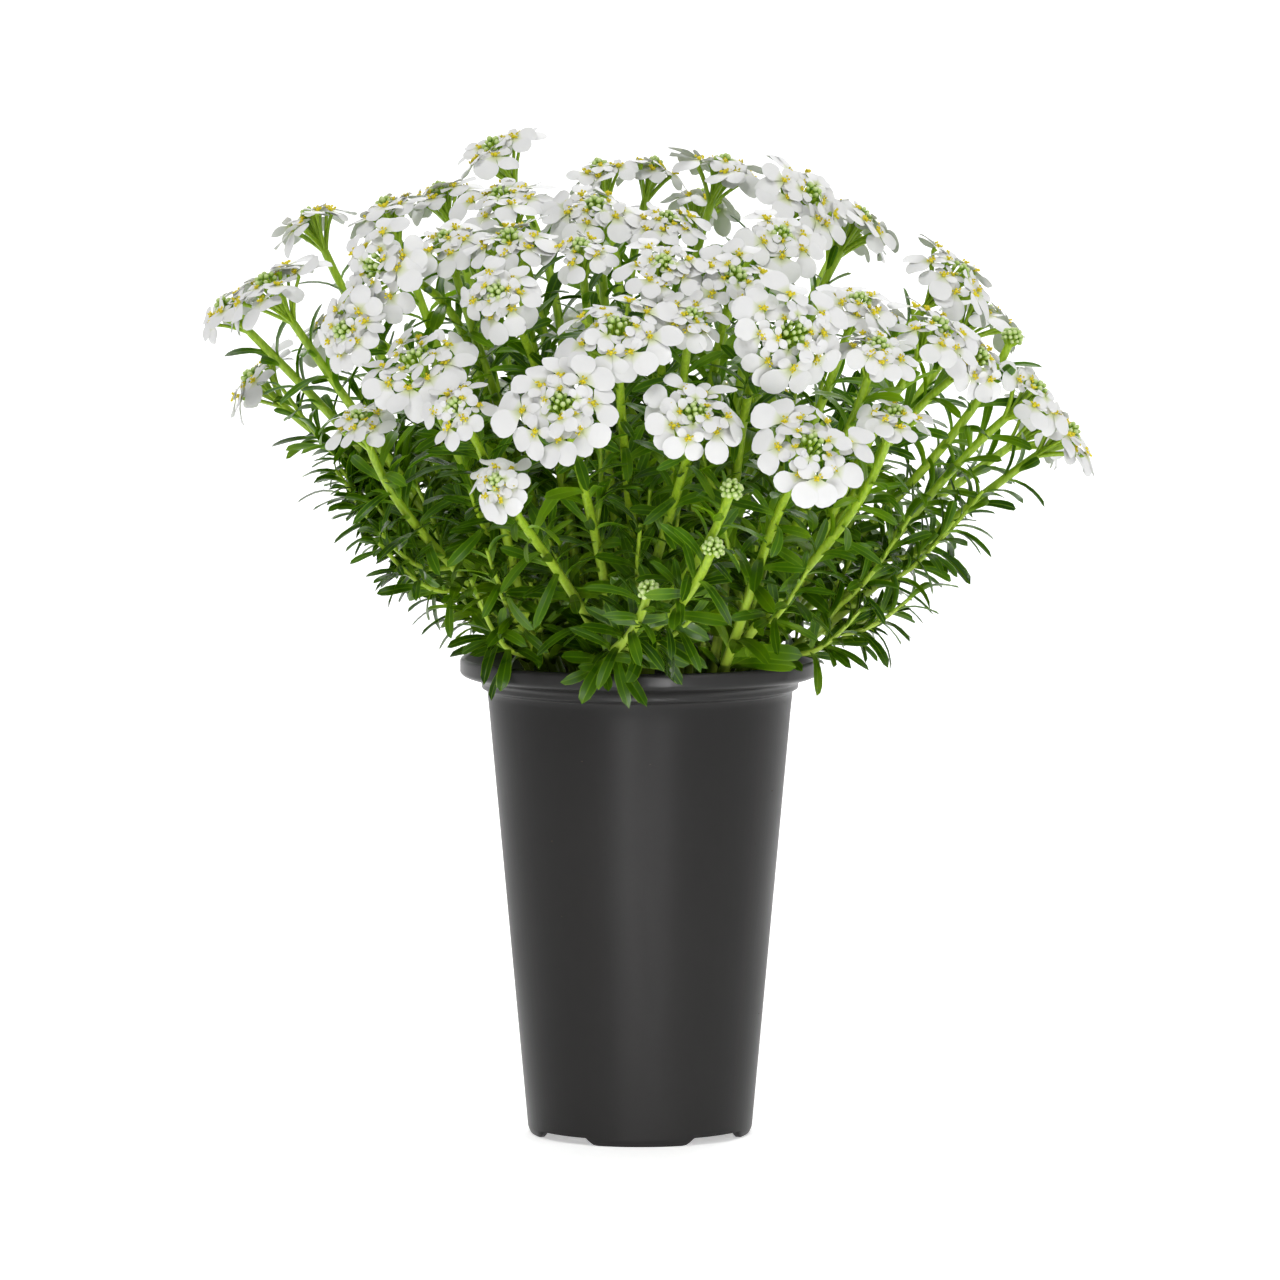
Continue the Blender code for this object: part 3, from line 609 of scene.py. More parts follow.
def makePot():
    mesh = meshOf(potForm(), "pot")
    mesh.materials.append(plasticFinish)
    holder = intoScene("pot_source", mesh)
    drills = []
    for index in range(pot["drains"]):
        turn = math.tau * index / pot["drains"]
        place = Vector((pot["drainRing"] * math.cos(turn), pot["drainRing"] * math.sin(turn),
                        pot["floorTop"]))
        form = bmesh.new()
        bmesh.ops.create_cone(
            form, cap_ends=True, segments=32, radius1=pot["drainRadius"],
            radius2=pot["drainRadius"], depth=pot["drillDepth"], matrix=Matrix.Translation(place))
        drills.append(intoScene("drill", meshOf(form, "drill")))
        cut = holder.modifiers.new("drain", "BOOLEAN")
        cut.operation = "DIFFERENCE"
        cut.object = drills[-1]
    finished = finishedMesh(holder, "nursery_pot")
    for drill in drills:
        bpy.data.objects.remove(drill)
    finished.shade_smooth()
    finished.set_sharp_from_angle(angle=math.radians(40))
    pieceFrom(finished, "black_plastic", "pot")
    print("pot made")


makePot()


# Soil

soil = {
    "top": 102.5 * mm, "radius": 33.5 * mm, "bottom": 5 * mm, "baseRadius": 24.6 * mm,
    "rings": 26, "sides": 84, "bump": 0.8 * mm, "crumbs": 900, "crumbBand": 2.5 * mm,
    "crumbLeast": (0.5 * mm, 0.35 * mm, 0.25 * mm), "crumbMost": (1.7 * mm, 1.0 * mm, 0.7 * mm),
    "crumbTilt": 0.5, "seed": 3, "spinSeed": 5,
}


def makeCrumbTree():
    # Crumbs of bark and peat strewn over the top of the soil
    tree, given, made = newTree("strewnCrumbs", [
        ("Density", "NodeSocketFloat"), ("Seed", "NodeSocketInt"), ("From Height", "NodeSocketFloat"),
    ])
    split = nodeIn(tree, "ShaderNodeSeparateXYZ")
    feed(tree, nodeIn(tree, "GeometryNodeInputPosition").outputs[0], split.inputs[0])
    high = nodeIn(tree, "FunctionNodeCompare", data_type="FLOAT", operation="GREATER_THAN")
    feed(tree, split.outputs["Z"], high.inputs["A"])
    feed(tree, given.outputs["From Height"], high.inputs["B"])
    spread = nodeIn(tree, "GeometryNodeDistributePointsOnFaces")
    feed(tree, given.outputs["Geometry"], spread.inputs["Mesh"])
    feed(tree, high.outputs[0], spread.inputs["Selection"])
    feed(tree, given.outputs["Density"], spread.inputs["Density"])
    feed(tree, given.outputs["Seed"], spread.inputs["Seed"])
    crumb = nodeIn(tree, "GeometryNodeMeshIcoSphere")
    setInputs(crumb, {"Radius": 1.0, "Subdivisions": 1})
    size = nodeIn(tree, "FunctionNodeRandomValue", data_type="FLOAT_VECTOR")
    setInputs(size, {"Min": soil["crumbLeast"], "Max": soil["crumbMost"]})
    spin = nodeIn(tree, "FunctionNodeRandomValue", data_type="FLOAT_VECTOR")
    tilt = soil["crumbTilt"]
    setInputs(spin, {"Min": (-tilt, -tilt, 0), "Max": (tilt, tilt, math.tau),
                     "Seed": soil["spinSeed"]})
    lay = nodeIn(tree, "GeometryNodeInstanceOnPoints")
    feed(tree, spread.outputs["Points"], lay.inputs["Points"])
    feed(tree, crumb.outputs["Mesh"], lay.inputs["Instance"])
    feed(tree, spin.outputs["Value"], lay.inputs["Rotation"])
    feed(tree, size.outputs["Value"], lay.inputs["Scale"])
    both = nodeIn(tree, "GeometryNodeJoinGeometry")
    feed(tree, lay.outputs["Instances"], both.inputs[0])
    feed(tree, given.outputs["Geometry"], both.inputs[0])
    return endTree(tree, both.outputs[0], given, made, False)


def soilHeight(x, y):
    wave = math.sin(x / (3.1 * mm)) * math.cos(y / (3.7 * mm) + 1)
    fine = math.sin(x / (1.1 * mm) + 2) * math.sin(y / (0.9 * mm))
    return soil["top"] + soil["bump"] * (0.6 * wave + 0.4 * fine)


def makeSoil():
    form = bmesh.new()
    middle = form.verts.new((0, 0, soil["top"]))
    rows = []
    for ring in range(1, soil["rings"] + 1):
        radius = soil["radius"] * ring / soil["rings"]
        row = []
        for side in range(soil["sides"]):
            turn = math.tau * side / soil["sides"]
            x, y = radius * math.cos(turn), radius * math.sin(turn)
            row.append(form.verts.new((x, y, soilHeight(x, y))))
        rows.append(row)
    scale = soil["baseRadius"] / soil["radius"]
    rows.append([form.verts.new((v.co.x * scale, v.co.y * scale, soil["bottom"]))
                 for v in rows[-1]])
    for side in range(soil["sides"]):
        after = (side + 1) % soil["sides"]
        form.faces.new((middle, rows[0][side], rows[0][after]))
        for inner, outer in zip(rows, rows[1:]):
            form.faces.new((inner[side], outer[side], outer[after], inner[after]))
    form.faces.new(list(reversed(rows[-1])))
    area = math.pi * soil["radius"] ** 2
    made = grown("soil_mix", meshOf(form, "soil"), makeCrumbTree(), {
        "Density": soil["crumbs"] / area, "Seed": soil["seed"],
        "From Height": soil["top"] - soil["crumbBand"], "Finish": soilFinish,
    })
    pieceFrom(made, "soil", "soil")
    print("soil made")


makeSoil()


# The plant's layout, as in the solids: the foot of each stem, its heading, and its ends. A bloom is
# one or more heads (x, y, z, radius, rise), in mm and degrees, and buds are (x, y, z).

plant = {
    "focusY": 20, "branchStart": 1.6 * mm, "crownSpacing": 2.7 * mm,
    "lowHandle": 0.38, "highHandle": 0.32, "stalkShare": 0.62, "branchSteps": 20, "seed": 7,
}
stems = {
    "left_far": {
        "foot": (-23, 3), "heading": (178, 60),
        "blooms": [[(-84, -9, 194, 15, 55), (-94, 5, 188, 10, 45)]],
    },
    "left_front": {
        "foot": (-20, -13), "heading": (215, 62),
        "blooms": [
            [(-58, -48, 200, 14, 15), (-65, -52, 186, 11, 15)],
            [(-49, -66, 180, 15, 50), (-40, -80, 171, 10, 35)],
            [(-62, -52, 166, 10, 60)],
        ],
    },
    "left_back": {
        "foot": (-19, 15), "heading": (145, 70),
        "blooms": [[(-76, 35, 207, 11, 65)], [(-58, 22, 210, 11, 70), (-46, 34, 213, 11, 70)]],
    },
    "top_left": {
        "foot": (-11, -1), "heading": (200, 80),
        "blooms": [
            [(-33, 10, 224, 13, 60)],
            [(-31, -18, 214, 13, 60)],
            [(-43, -38, 205, 12, 65), (-29, -50, 206, 12, 60)],
            [(-31, -67, 195, 11, 30)],
        ],
    },
    "centre": {
        "foot": (-1, -8), "heading": (262, 80),
        "blooms": [
            [(-5, -80, 188, 15, 50), (11, -73, 190, 10, 50)],
            [(-13, -54, 204, 10, 62)],
            [(-10, -28, 212, 13, 62), (6, -30, 209, 11, 62)],
            [(-9, 12, 219, 10, 75), (3, 21, 219, 10, 75)],
        ],
    },
    "low_centre": {
        "foot": (-4, -24), "heading": (268, 48),
        "blooms": [[(-17, -92, 172, 15, 30)], [(-31, -85, 155, 9, 30)], [(12, -87, 170, 13, 35)]],
    },
    "centre_right": {
        "foot": (9, -1), "heading": (300, 82),
        "blooms": [
            [(21, -60, 198, 13, 45), (5, -62, 201, 11, 45)],
            [(19, 12, 220, 13, 70)],
            [(14, 42, 211, 11, 68)],
        ],
    },
    "right_top": {
        "foot": (15, -11), "heading": (320, 72),
        "blooms": [
            [(38, -5, 214, 15, 40)],
            [(31, -36, 206, 13, 55)],
            [(33, -77, 187, 15, 15)],
            [(48, -52, 192, 11, 60), (52, -66, 183, 11, 60)],
        ],
    },
    "right_front": {
        "foot": (17, -22), "heading": (302, 55),
        "blooms": [[(37, -90, 163, 15, 35)], [(56, -66, 168, 10, 60)]],
    },
    "right_upper": {
        "foot": (24, -2), "heading": (350, 64),
        "blooms": [
            [(71, -18, 197, 15, 45)],
            [(50, 14, 208, 12, 60)],
            [(66, -42, 186, 13, 50), (75, -34, 179, 12, 35)],
        ],
        "buds": [(84, -14, 183)],
    },
    "right_far": {
        "foot": (25, -12), "heading": (345, 30),
        "blooms": [[(89, -13, 170, 13, 40), (97, -2, 160, 12, 35)]],
    },
    "front_bud": {
        "foot": (-15, -25), "heading": (310, 36),
        "blooms": [],
        "buds": [(20, -88, 154), (16, -84, 141), (2, -76, 131)],
    },
    "back_left": {
        "foot": (-14, 23), "heading": (130, 62),
        "blooms": [[(-40, 68, 198, 15, 55)], [(-70, 55, 183, 15, 50)], [(-89, 31, 170, 13, 40)]],
    },
    "back_mid": {
        "foot": (-1, 25), "heading": (95, 66),
        "blooms": [[(-12, 62, 207, 14, 60)], [(-8, 88, 178, 15, 40)], [(-42, 84, 165, 15, 35)]],
    },
    "back_right": {
        "foot": (12, 21), "heading": (60, 66),
        "blooms": [
            [(24, 70, 195, 15, 55)],
            [(48, 44, 205, 14, 60)],
            [(61, 62, 179, 15, 45)],
            [(28, 91, 163, 14, 35)],
        ],
    },
    "back_far_right": {
        "foot": (24, 11), "heading": (25, 58),
        "blooms": [[(78, 27, 187, 15, 55)], [(92, 27, 160, 13, 35)]],
    },
}


def directionOf(turn, rise):
    return Vector((math.cos(turn) * math.cos(rise), math.sin(turn) * math.cos(rise), math.sin(rise)))


def headFrame(head):
    x, y, z, radius, rise = head
    facing = directionOf(math.atan2(y - plant["focusY"], x), math.radians(rise))
    return Vector((x, y, z)) * mm, facing, radius * mm


def turnedTowards(direction, spin=0.0):
    return direction.to_track_quat("Z", "Y").to_matrix() @ Matrix.Rotation(spin, 3, "Z")


def axesFrom(forward, upward):
    # A rotation whose X runs along forward and whose Z leans towards upward
    forward = forward.normalized()
    side = upward.cross(forward)
    if side.length < 1e-6:
        side = forward.orthogonal()
    side.normalize()
    return Matrix((forward, side, forward.cross(side))).transposed()


def bezier(start, first, second, end, share):
    rest = 1 - share
    return (start * rest**3 + first * 3 * rest * rest * share
            + second * 3 * rest * share * share + end * share**3)


def branchLine(start, heading, end, facing):
    reach = (end - start).length
    away = ((end - start).normalized() * 0.6 + heading * 0.6).normalized()
    first = start + away * reach * plant["lowHandle"]
    second = end - facing * reach * plant["highHandle"]
    steps = plant["branchSteps"]
    return [bezier(start, first, second, end, step / steps) for step in range(steps + 1)]


def stemEnd(head):
    middle, facing, radius = headFrame(head)
    return middle - facing * (plant["stalkShare"] * radius + 2 * mm), facing


def endsOf(plan):
    # The heads and buds of a stem, in their order round the crown
    ends = [head for heads in plan["blooms"] for head in heads] + plan.get("buds", [])
    middleX = sum(end[0] for end in ends) / len(ends)
    middleY = sum(end[1] for end in ends) / len(ends)
    return sorted(ends, key=lambda end: math.atan2(end[1] - middleY, end[0] - middleX))


def stemLines(plan):
    x, y = plan["foot"]
    heading = directionOf(*(math.radians(angle) for angle in plan["heading"]))
    foot = Vector((x * mm, y * mm, soil["top"]))
    ends = endsOf(plan)
    spread = plant["crownSpacing"] * len(ends) / math.tau if len(ends) > 1 else 0
    firstTurn = math.atan2(ends[0][1] - y, ends[0][0] - x) if len(ends) > 1 else 0
    lines = {}
    for index, end in enumerate(ends):
        spot = firstTurn + math.tau * index / len(ends)
        start = foot + Vector((math.cos(spot), math.sin(spot), 0)) * spread
        start += up * plant["branchStart"]
        if len(end) > 3:
            top, facing = stemEnd(end)
        else:
            middle = Vector(end) * mm
            facing = ((middle - foot).normalized() + up * 0.6).normalized()
            top = middle - facing * clusterPlan["radius"] * 0.4
        lines[end] = (branchLine(start, heading, top, facing), facing)
    return lines


# Small shapes that are repeated

def shapeCollection(name, meshes):
    # The shapes stay in the scene only until all their copies are made
    group = bpy.data.collections.new(name)
    scene.collection.children.link(group)
    for index, mesh in enumerate(meshes):
        group.objects.link(bpy.data.objects.new(f"{name}_{index:02d}", mesh))
    return group


def clearShapes(*groups):
    for group in groups:
        for shape in list(group.objects):
            bpy.data.objects.remove(shape)
        bpy.data.collections.remove(group)


def bladeInto(form, layer, matrix, grid, halfWidth, surface):
    # A closed thin blade: rows along it, closer at its tip, and columns across, its edge shared
    # by both faces. Its map holds the share along it and the share out from its midrib
    rows, columns, first, thick = grid
    tops, unders = [], []
    outward = [abs(2 * column / columns - 1) for column in range(columns + 1)]
    for row in range(rows + 1):
        share = first + (1 - first) * (1 - (1 - row / rows) ** 1.5)
        wide = halfWidth(share)
        top, under = [], []
        if wide < 1e-5:
            vert = form.verts.new(matrix @ Vector((share, 0, surface(share, 0))))
            tops.append([vert])
            unders.append([vert])
            continue
        for column in range(columns + 1):
            across = 2 * column / columns - 1
            place = Vector((share, across * wide, surface(share, across)))
            rim = column in (0, columns)
            body = Vector((0, 0, 0 if rim else thick * (1 - across * across) ** 0.5 / 2))
            vert = form.verts.new(matrix @ (place + body))
            top.append(vert)
            under.append(vert if rim else form.verts.new(matrix @ (place - body)))
        tops.append(top)
        unders.append(under)

    def face(corners):
        made = form.faces.new([vert for vert, _ in corners])
        for loop, (_, place) in zip(made.loops, corners):
            loop[layer].uv = place

    for row in range(rows):
        low, high = row / rows, (row + 1) / rows
        for side, upper in ((tops, True), (unders, False)):
            near, far = side[row], side[row + 1]
            for column in range(columns):
                left, right = outward[column], outward[column + 1]
                corners = [(near[column], (low, left)), (near[column + 1], (low, right))]
                if len(far) == 1:
                    corners.insert(1, (far[0], (high, 0)))
                else:
                    corners[1:1] = [(far[column], (high, left)), (far[column + 1], (high, right))]
                face(corners[::-1] if upper else corners)
    ring = tops[0] + unders[0][-2:0:-1]
    face([(vert, (0, 0)) for vert in ring])


def shapeMesh(name, build):
    form = bmesh.new()
    layer = form.loops.layers.uv.new("blade")
    build(form, layer)
    bmesh.ops.recalc_face_normals(form, faces=form.faces)
    mesh = meshOf(form, name)
    mesh.shade_smooth()
    mesh.set_sharp_from_angle(angle=math.radians(70))
    return mesh


def petalWidth(share, widest):
    # Half the width of a petal: a narrow claw that opens into a broad round blade
    if share >= 1:
        return 0.0
    opened = min(max((share + 0.02) / 0.56, 0), 1)
    blade = widest * opened * opened * (3 - 2 * opened)
    tip = max(1 - max((share - 0.60) / 0.40, 0) ** 2.4, 0) ** 0.5
    return max(0.05, blade) * tip


# Turns are in degrees, and a unit of length is the reach of a large petal
floretPlan = {
    "large": {"turn": 33, "wide": 0.41, "rows": 7, "lift": (-0.06, 0.16), "droop": (0.08, 0.34)},
    "small": {"turn": 112, "wide": 0.35, "rows": 5, "lift": (0.0, 0.25), "droop": (0.0, 0.2)},
    "columns": 4, "start": 0.04, "thick": 0.022, "rise": 0.03, "turnSpread": 10,
    "cup": (-0.10, 0.16), "roll": (-0.20, 0.20), "ripple": 0.030, "size": (0.84, 1.04),
    "outer": {"kinds": 6, "large": 1.0, "small": 0.56},
    "inner": {"kinds": 4, "large": 0.92, "small": 0.62}, "seed": 11,
}


def floretShape(index, draws, reaches):
    # Two large petals outwards and two small ones inwards
    def build(form, layer):
        for kind, side in (("large", -1), ("large", 1), ("small", -1), ("small", 1)):
            petal = floretPlan[kind]
            spread = floretPlan["turnSpread"]
            turn = side * petal["turn"] + draws.uniform(-spread, spread)
            lift = draws.uniform(*petal["lift"])
            droop = draws.uniform(*petal["droop"])
            cup = draws.uniform(*floretPlan["cup"])
            roll = draws.uniform(*floretPlan["roll"])
            wave = draws.uniform(0, math.tau)
            size = reaches[kind] * draws.uniform(*floretPlan["size"])
            matrix = Matrix.Rotation(math.radians(turn), 4, "Z") @ Matrix.Scale(size, 4)

            def surface(share, across):
                ripple = floretPlan["ripple"] * math.sin(wave + 6 * share) * across * share
                bend = lift * share - droop * share * share
                bowl = (cup * across * across + roll * across) * share * 0.5
                return floretPlan["rise"] + bend + bowl + ripple

            grid = (petal["rows"], floretPlan["columns"], floretPlan["start"], floretPlan["thick"])
            bladeInto(form, layer, matrix, grid,
                      lambda share: petalWidth(share, petal["wide"]), surface)
    return shapeMesh(f"floret_{index}", build)


def ballInto(form, layer, middle, size, rings, sides):
    # A small closed ball, squashed or stretched by its size along each axis
    rows = [[form.verts.new(middle + Vector((0, 0, -size[2])))]]
    for ring in range(1, rings):
        angle = math.pi * ring / rings
        rows.append([form.verts.new(middle + Vector((
            size[0] * math.sin(angle) * math.cos(math.tau * side / sides),
            size[1] * math.sin(angle) * math.sin(math.tau * side / sides),
            -size[2] * math.cos(angle)))) for side in range(sides)])
    rows.append([form.verts.new(middle + Vector((0, 0, size[2])))])
    for ring in range(rings):
        low, high = rows[ring], rows[ring + 1]
        for side in range(sides):
            after = (side + 1) % sides
            if len(low) == 1:
                corners, heights = [low[0], high[after], high[side]], [0, 1, 1]
            elif len(high) == 1:
                corners, heights = [low[side], low[after], high[0]], [0, 0, 1]
            else:
                corners = [low[side], low[after], high[after], high[side]]
                heights = [0, 0, 1, 1]
            made = form.faces.new(corners)
            for loop, height in zip(made.loops, heights):
                loop[layer].uv = ((ring + height) / rings, 0)


# A unit is a millimetre, and the ring of anthers is oval
antherPlan = {
    "count": 5, "kinds": 3, "turnSpread": 0.25, "reach": (0.45, 0.70), "height": (0.5, 0.9),
    "oval": (1.25, 0.8), "size": (0.34, 0.26, 0.30), "pistil": (0.50, 0.36, 0.5),
    "pistilHeight": 0.45,
}


def antherShape(index, draws):
    # A few yellow anthers round the pistil
    def build(form, layer):
        spread = antherPlan["turnSpread"]
        long, short = antherPlan["oval"]
        for anther in range(antherPlan["count"]):
            turn = math.tau * anther / antherPlan["count"] + draws.uniform(-spread, spread)
            reach = draws.uniform(*antherPlan["reach"])
            middle = Vector((reach * math.cos(turn) * long, reach * math.sin(turn) * short,
                             draws.uniform(*antherPlan["height"])))
            ballInto(form, layer, middle, antherPlan["size"], 2, 4)
        pistil = Vector((0, 0, antherPlan["pistilHeight"]))
        ballInto(form, layer, pistil, antherPlan["pistil"], 3, 5)
    return shapeMesh(f"anthers_{index}", build)


def budShape():
    # A unit is the bud's radius
    def build(form, layer):
        ballInto(form, layer, Vector((0, 0, 0.3)), (1, 1, 1.15), 5, 7)
    return shapeMesh("bud", build)


# Each shape is how far the leaf arches down, how far it rolls in and how much it twists, and the
# chances say how often each is drawn. The hanging shoots fill the sides low down
leafPlan = {
    "shapes": ((0.08, 0.0, 0.4), (0.20, 0.1, -0.5), (0.34, 0.0, 0.7), (0.50, 0.12, -0.3),
               (-0.05, 0.1, 0.5)),
    "chances": (3, 4, 4, 2, 2), "rows": 6, "columns": 4, "thick": 0.030,
    "groove": 0.026, "bow": 0.32, "twist": 0.06,
    "length": 14.5 * mm, "perBranch": 36, "lowest": 0.03, "highest": 0.94, "crowding": 0.86,
    "lengths": (0.75, 1.12), "widths": (0.90, 1.15), "rollSpread": 48, "lean": (38, 78),
    "tries": 6, "tryTurn": math.radians(50), "turnSpread": 0.35,
    "perShoot": 14, "shootLeaf": 0.85, "shootLength": 26 * mm, "shootLengths": (0.7, 1.3),
    "shootRadius": 0.75 * mm, "shootSteps": 8, "shootFrom": (0.08, 0.55), "shoots": (1, 1, 2),
    "hangingShoots": {
        "left_far": 11, "left_front": 3, "left_back": 5, "back_left": 4, "right_far": 3,
    },
}


def leafWidth(share):
    # Half the width of a leaf: a narrow foot, widest past the middle, a blunt tip
    if share >= 1:
        return 0.0
    foot = 0.042 + 0.064 * min(share / 0.66, 1) ** 1.1
    tip = max(1 - max((share - 0.74) / 0.26, 0) ** 2.4, 0) ** 0.5
    return foot * tip


def leafShape(index, arch, rollIn, twist):
    # A unit is the leaf's length. It arches down towards its tip and has a groove along its midrib
    def surface(share, across):
        groove = leafPlan["groove"] * abs(across) * min(share * 4, 1)
        bow = leafPlan["bow"] * share * (1 - share) - arch * share * share
        return bow + groove + leafPlan["twist"] * twist * across * share

    def build(form, layer):
        grid = (leafPlan["rows"], leafPlan["columns"], 0, leafPlan["thick"])
        bladeInto(form, layer, Matrix.Identity(4), grid,
                  lambda share: leafWidth(share) * (1 - rollIn), surface)
    return shapeMesh(f"leaf_{index}", build)


def makeFlorets(draws):
    made = []
    for ring in ("outer", "inner"):
        for _ in range(floretPlan[ring]["kinds"]):
            made.append(floretShape(len(made), draws, floretPlan[ring]))
    return made


shapeDraws = random.Random(floretPlan["seed"])
floretShapes = shapeCollection("florets", makeFlorets(shapeDraws))
antherShapes = shapeCollection(
    "anthers", [antherShape(index, shapeDraws) for index in range(antherPlan["kinds"])])
budShapes = shapeCollection("buds", [budShape()])
leafShapes = shapeCollection(
    "leaves", [leafShape(index, *bend) for index, bend in enumerate(leafPlan["shapes"])])
print("shapes made")


# Flower heads

# A head is an outer and an inner ring of florets round a dome of buds. Tilts, leans and rolls are in
# degrees, and a ring's reach, stalk and elbow are shares of the head's
headPlan = {
    "floretShare": 0.34, "floretLeast": 2.3 * mm, "counts": ((10.5 * mm, 6), (13.5 * mm, 7)),
    "mostFlorets": 8, "inset": 0.95,
    "rings": (
        {"fewer": 0, "reach": 1.0, "scale": 1.02, "tilt": 24, "lift": 0.0, "firstKind": 0,
         "kinds": 6, "anther": 1.25 * mm, "stalk": 0.04, "elbow": 0.12},
        {"fewer": 2, "reach": 0.50, "scale": 0.70, "tilt": 8, "lift": 1.2 * mm, "firstKind": 6,
         "kinds": 4, "anther": 0.95 * mm, "stalk": 0.22, "elbow": 0.06},
    ),
    "turnSpread": 0.24, "lean": (-24, 18), "roll": (-28, 28), "step": 0.5 * mm,
    "heights": (-0.4, 0.4), "reaches": (0.84, 1.07), "sizes": (0.84, 1.10),
    "stalkSeat": 0.3 * mm, "stalkFlare": 0.9 * mm,
    "stalkRadii": [0.5 * mm, 0.46 * mm, 0.42 * mm, 0.40 * mm, 0.46 * mm, 0.78 * mm],
    "buds": 13, "budRing": 0.17, "budTop": 2.6 * mm, "budFall": 1.5 * mm, "budSizes": (0.45, 0.72),
    "budStalk": 0.35, "budStalkRadii": [0.34 * mm, 0.32 * mm, 0.34 * mm],
}


def headSpots(head, draws):
    # The florets, anthers and buds of a head, each (place, rotation, size, kind), and the stalks
    middle, facing, radius = headFrame(head)
    own = turnedTowards(facing, goldenTurn * head[0])
    size = headPlan["floretShare"] * radius + headPlan["floretLeast"]
    base, _ = stemEnd(head)
    deep = (middle - base).length
    florets, anthers, buds, stalks = [], [], [], []
    outer = next((count for limit, count in headPlan["counts"] if radius < limit),
                 headPlan["mostFlorets"])
    for number, ring in enumerate(headPlan["rings"]):
        count = outer - ring["fewer"]
        reach = (radius - headPlan["inset"] * size) * ring["reach"]
        spread = headPlan["turnSpread"]
        for index in range(count):
            turn = math.tau * (index + 0.5 * number) / count + draws.uniform(-spread, spread)
            out = Matrix.Rotation(turn, 3, "Z")
            tilt = math.radians(ring["tilt"] + draws.uniform(*headPlan["lean"]))
            roll = math.radians(draws.uniform(*headPlan["roll"]))
            step = headPlan["step"] if index % 2 else -headPlan["step"]
            high = ring["lift"] + step + draws.uniform(*headPlan["heights"]) * mm
            far = reach * draws.uniform(*headPlan["reaches"])
            place = middle + own @ (out @ Vector((far, 0, high)))
            rotation = own @ out @ Matrix.Rotation(tilt, 3, "Y") @ Matrix.Rotation(roll, 3, "X")
            kind = ring["firstKind"] + draws.randrange(ring["kinds"])
            scale = size * ring["scale"] * draws.uniform(*headPlan["sizes"])
            florets.append((place, rotation, scale, kind))
            if number == 0 or index % 3:
                spun = rotation @ Matrix.Rotation(draws.uniform(0, math.tau), 3, "Z")
                anthers.append((place, spun, ring["anther"], draws.randrange(antherPlan["kinds"])))
            upward = rotation @ up
            axis = base + facing * deep * ring["stalk"]
            elbow = axis.lerp(place, 0.45) + facing * ring["elbow"] * deep
            under = place - upward * headPlan["stalkSeat"]
            stalks.append(stalkPath(axis, elbow, under, upward * headPlan["stalkFlare"]))
    budRing = radius * headPlan["budRing"]
    for index in range(headPlan["buds"]):
        reach = budRing * math.sqrt((index + 0.3) / headPlan["buds"]) * 1.15
        turn = goldenTurn * index
        high = headPlan["budTop"] - headPlan["budFall"] * (reach / budRing) ** 2
        outward = Vector((math.cos(turn), math.sin(turn), 0))
        lean = (outward * reach / budRing * 0.6 + up).normalized()
        place = middle + own @ Vector((reach * math.cos(turn), reach * math.sin(turn), high))
        scale = draws.uniform(*headPlan["budSizes"]) * mm
        buds.append((place, own @ turnedTowards(lean), scale, 0))
        start = base + facing * deep * headPlan["budStalk"]
        stalks.append(([start, start.lerp(place, 0.5), place], headPlan["budStalkRadii"]))
    return florets, anthers, buds, stalks


def stalkPath(start, elbow, end, flare):
    # A bent stalk that widens under its floret
    radii = headPlan["stalkRadii"]
    bends = len(radii) - 2
    points = []
    for step in range(bends + 1):
        share = step / bends
        points.append(start.lerp(elbow, share).lerp(elbow.lerp(end - flare, share), share))
    return points + [end], radii


headDraws = random.Random(plant["seed"])
stalksOf = {name: [] for name in stems}


def makeBlooms():
    total = 0
    for name, plan in stems.items():
        for index, heads in enumerate(plan["blooms"]):
            florets, anthers, buds = [], [], []
            for head in heads:
                made = headSpots(head, headDraws)
                for spots, more in zip((florets, anthers, buds, stalksOf[name]), made):
                    spots += more
            mesh = joinedMesh(f"head_{name}_{index + 1}", [
                copies("petals", florets, floretShapes, petalFinish),
                copies("anthers", anthers, antherShapes, antherFinish),
                copies("buds", buds, budShapes, budFinish),
            ])
            total += len(mesh.polygons)
            pieceFrom(mesh, "petal", f"bloom_{name}_{index + 1}")
    print("flower heads made, faces:", total)


makeBlooms()


# Leafy stems

stemPlan = {
    "radius": 1.2 * mm, "topRadius": 0.95 * mm, "headRadius": 0.8 * mm, "sunk": 4 * mm,
    "intoHead": 0.45, "branchSides": 10, "shootSides": 6, "stalkSides": 5,
}
clusterPlan = {
    "radius": 3.4 * mm, "buds": 28, "share": 0.54, "lift": 0.8 * mm, "sizes": (0.42, 0.75),
    "drop": 1.35, "stalkDrop": 1.5 * mm, "stalkRadii": [0.4 * mm, 0.34 * mm],
}
# Leaves keep out of these: the soil inside the pot, its rim, and the room beside its wall
clearance = {
    "soilReach": 34.5 * mm, "soilTop": 103.2 * mm, "rimInside": 33.5 * mm,
    "rimOutside": 41.6 * mm, "rimTop": 109.8 * mm, "lowestOutside": 100 * mm,
}


def clearOfPot(points):
    # Whether a leaf misses the rim, the wall and the soil
    for point in points:
        reach = math.hypot(point.x, point.y)
        if point.z < clearance["soilTop"] and reach < clearance["soilReach"]:
            return False
        if clearance["rimInside"] < reach < clearance["rimOutside"] and point.z < clearance["rimTop"]:
            return False
        if reach >= clearance["rimOutside"] and point.z < clearance["lowestOutside"]:
            return False
    return True


def pointAlong(line, share):
    # The point at this share of a line, and the direction there
    place = share * (len(line) - 1)
    step = min(int(place), len(line) - 2)
    root = line[step].lerp(line[step + 1], place - step)
    return root, (line[step + 1] - line[step]).normalized()


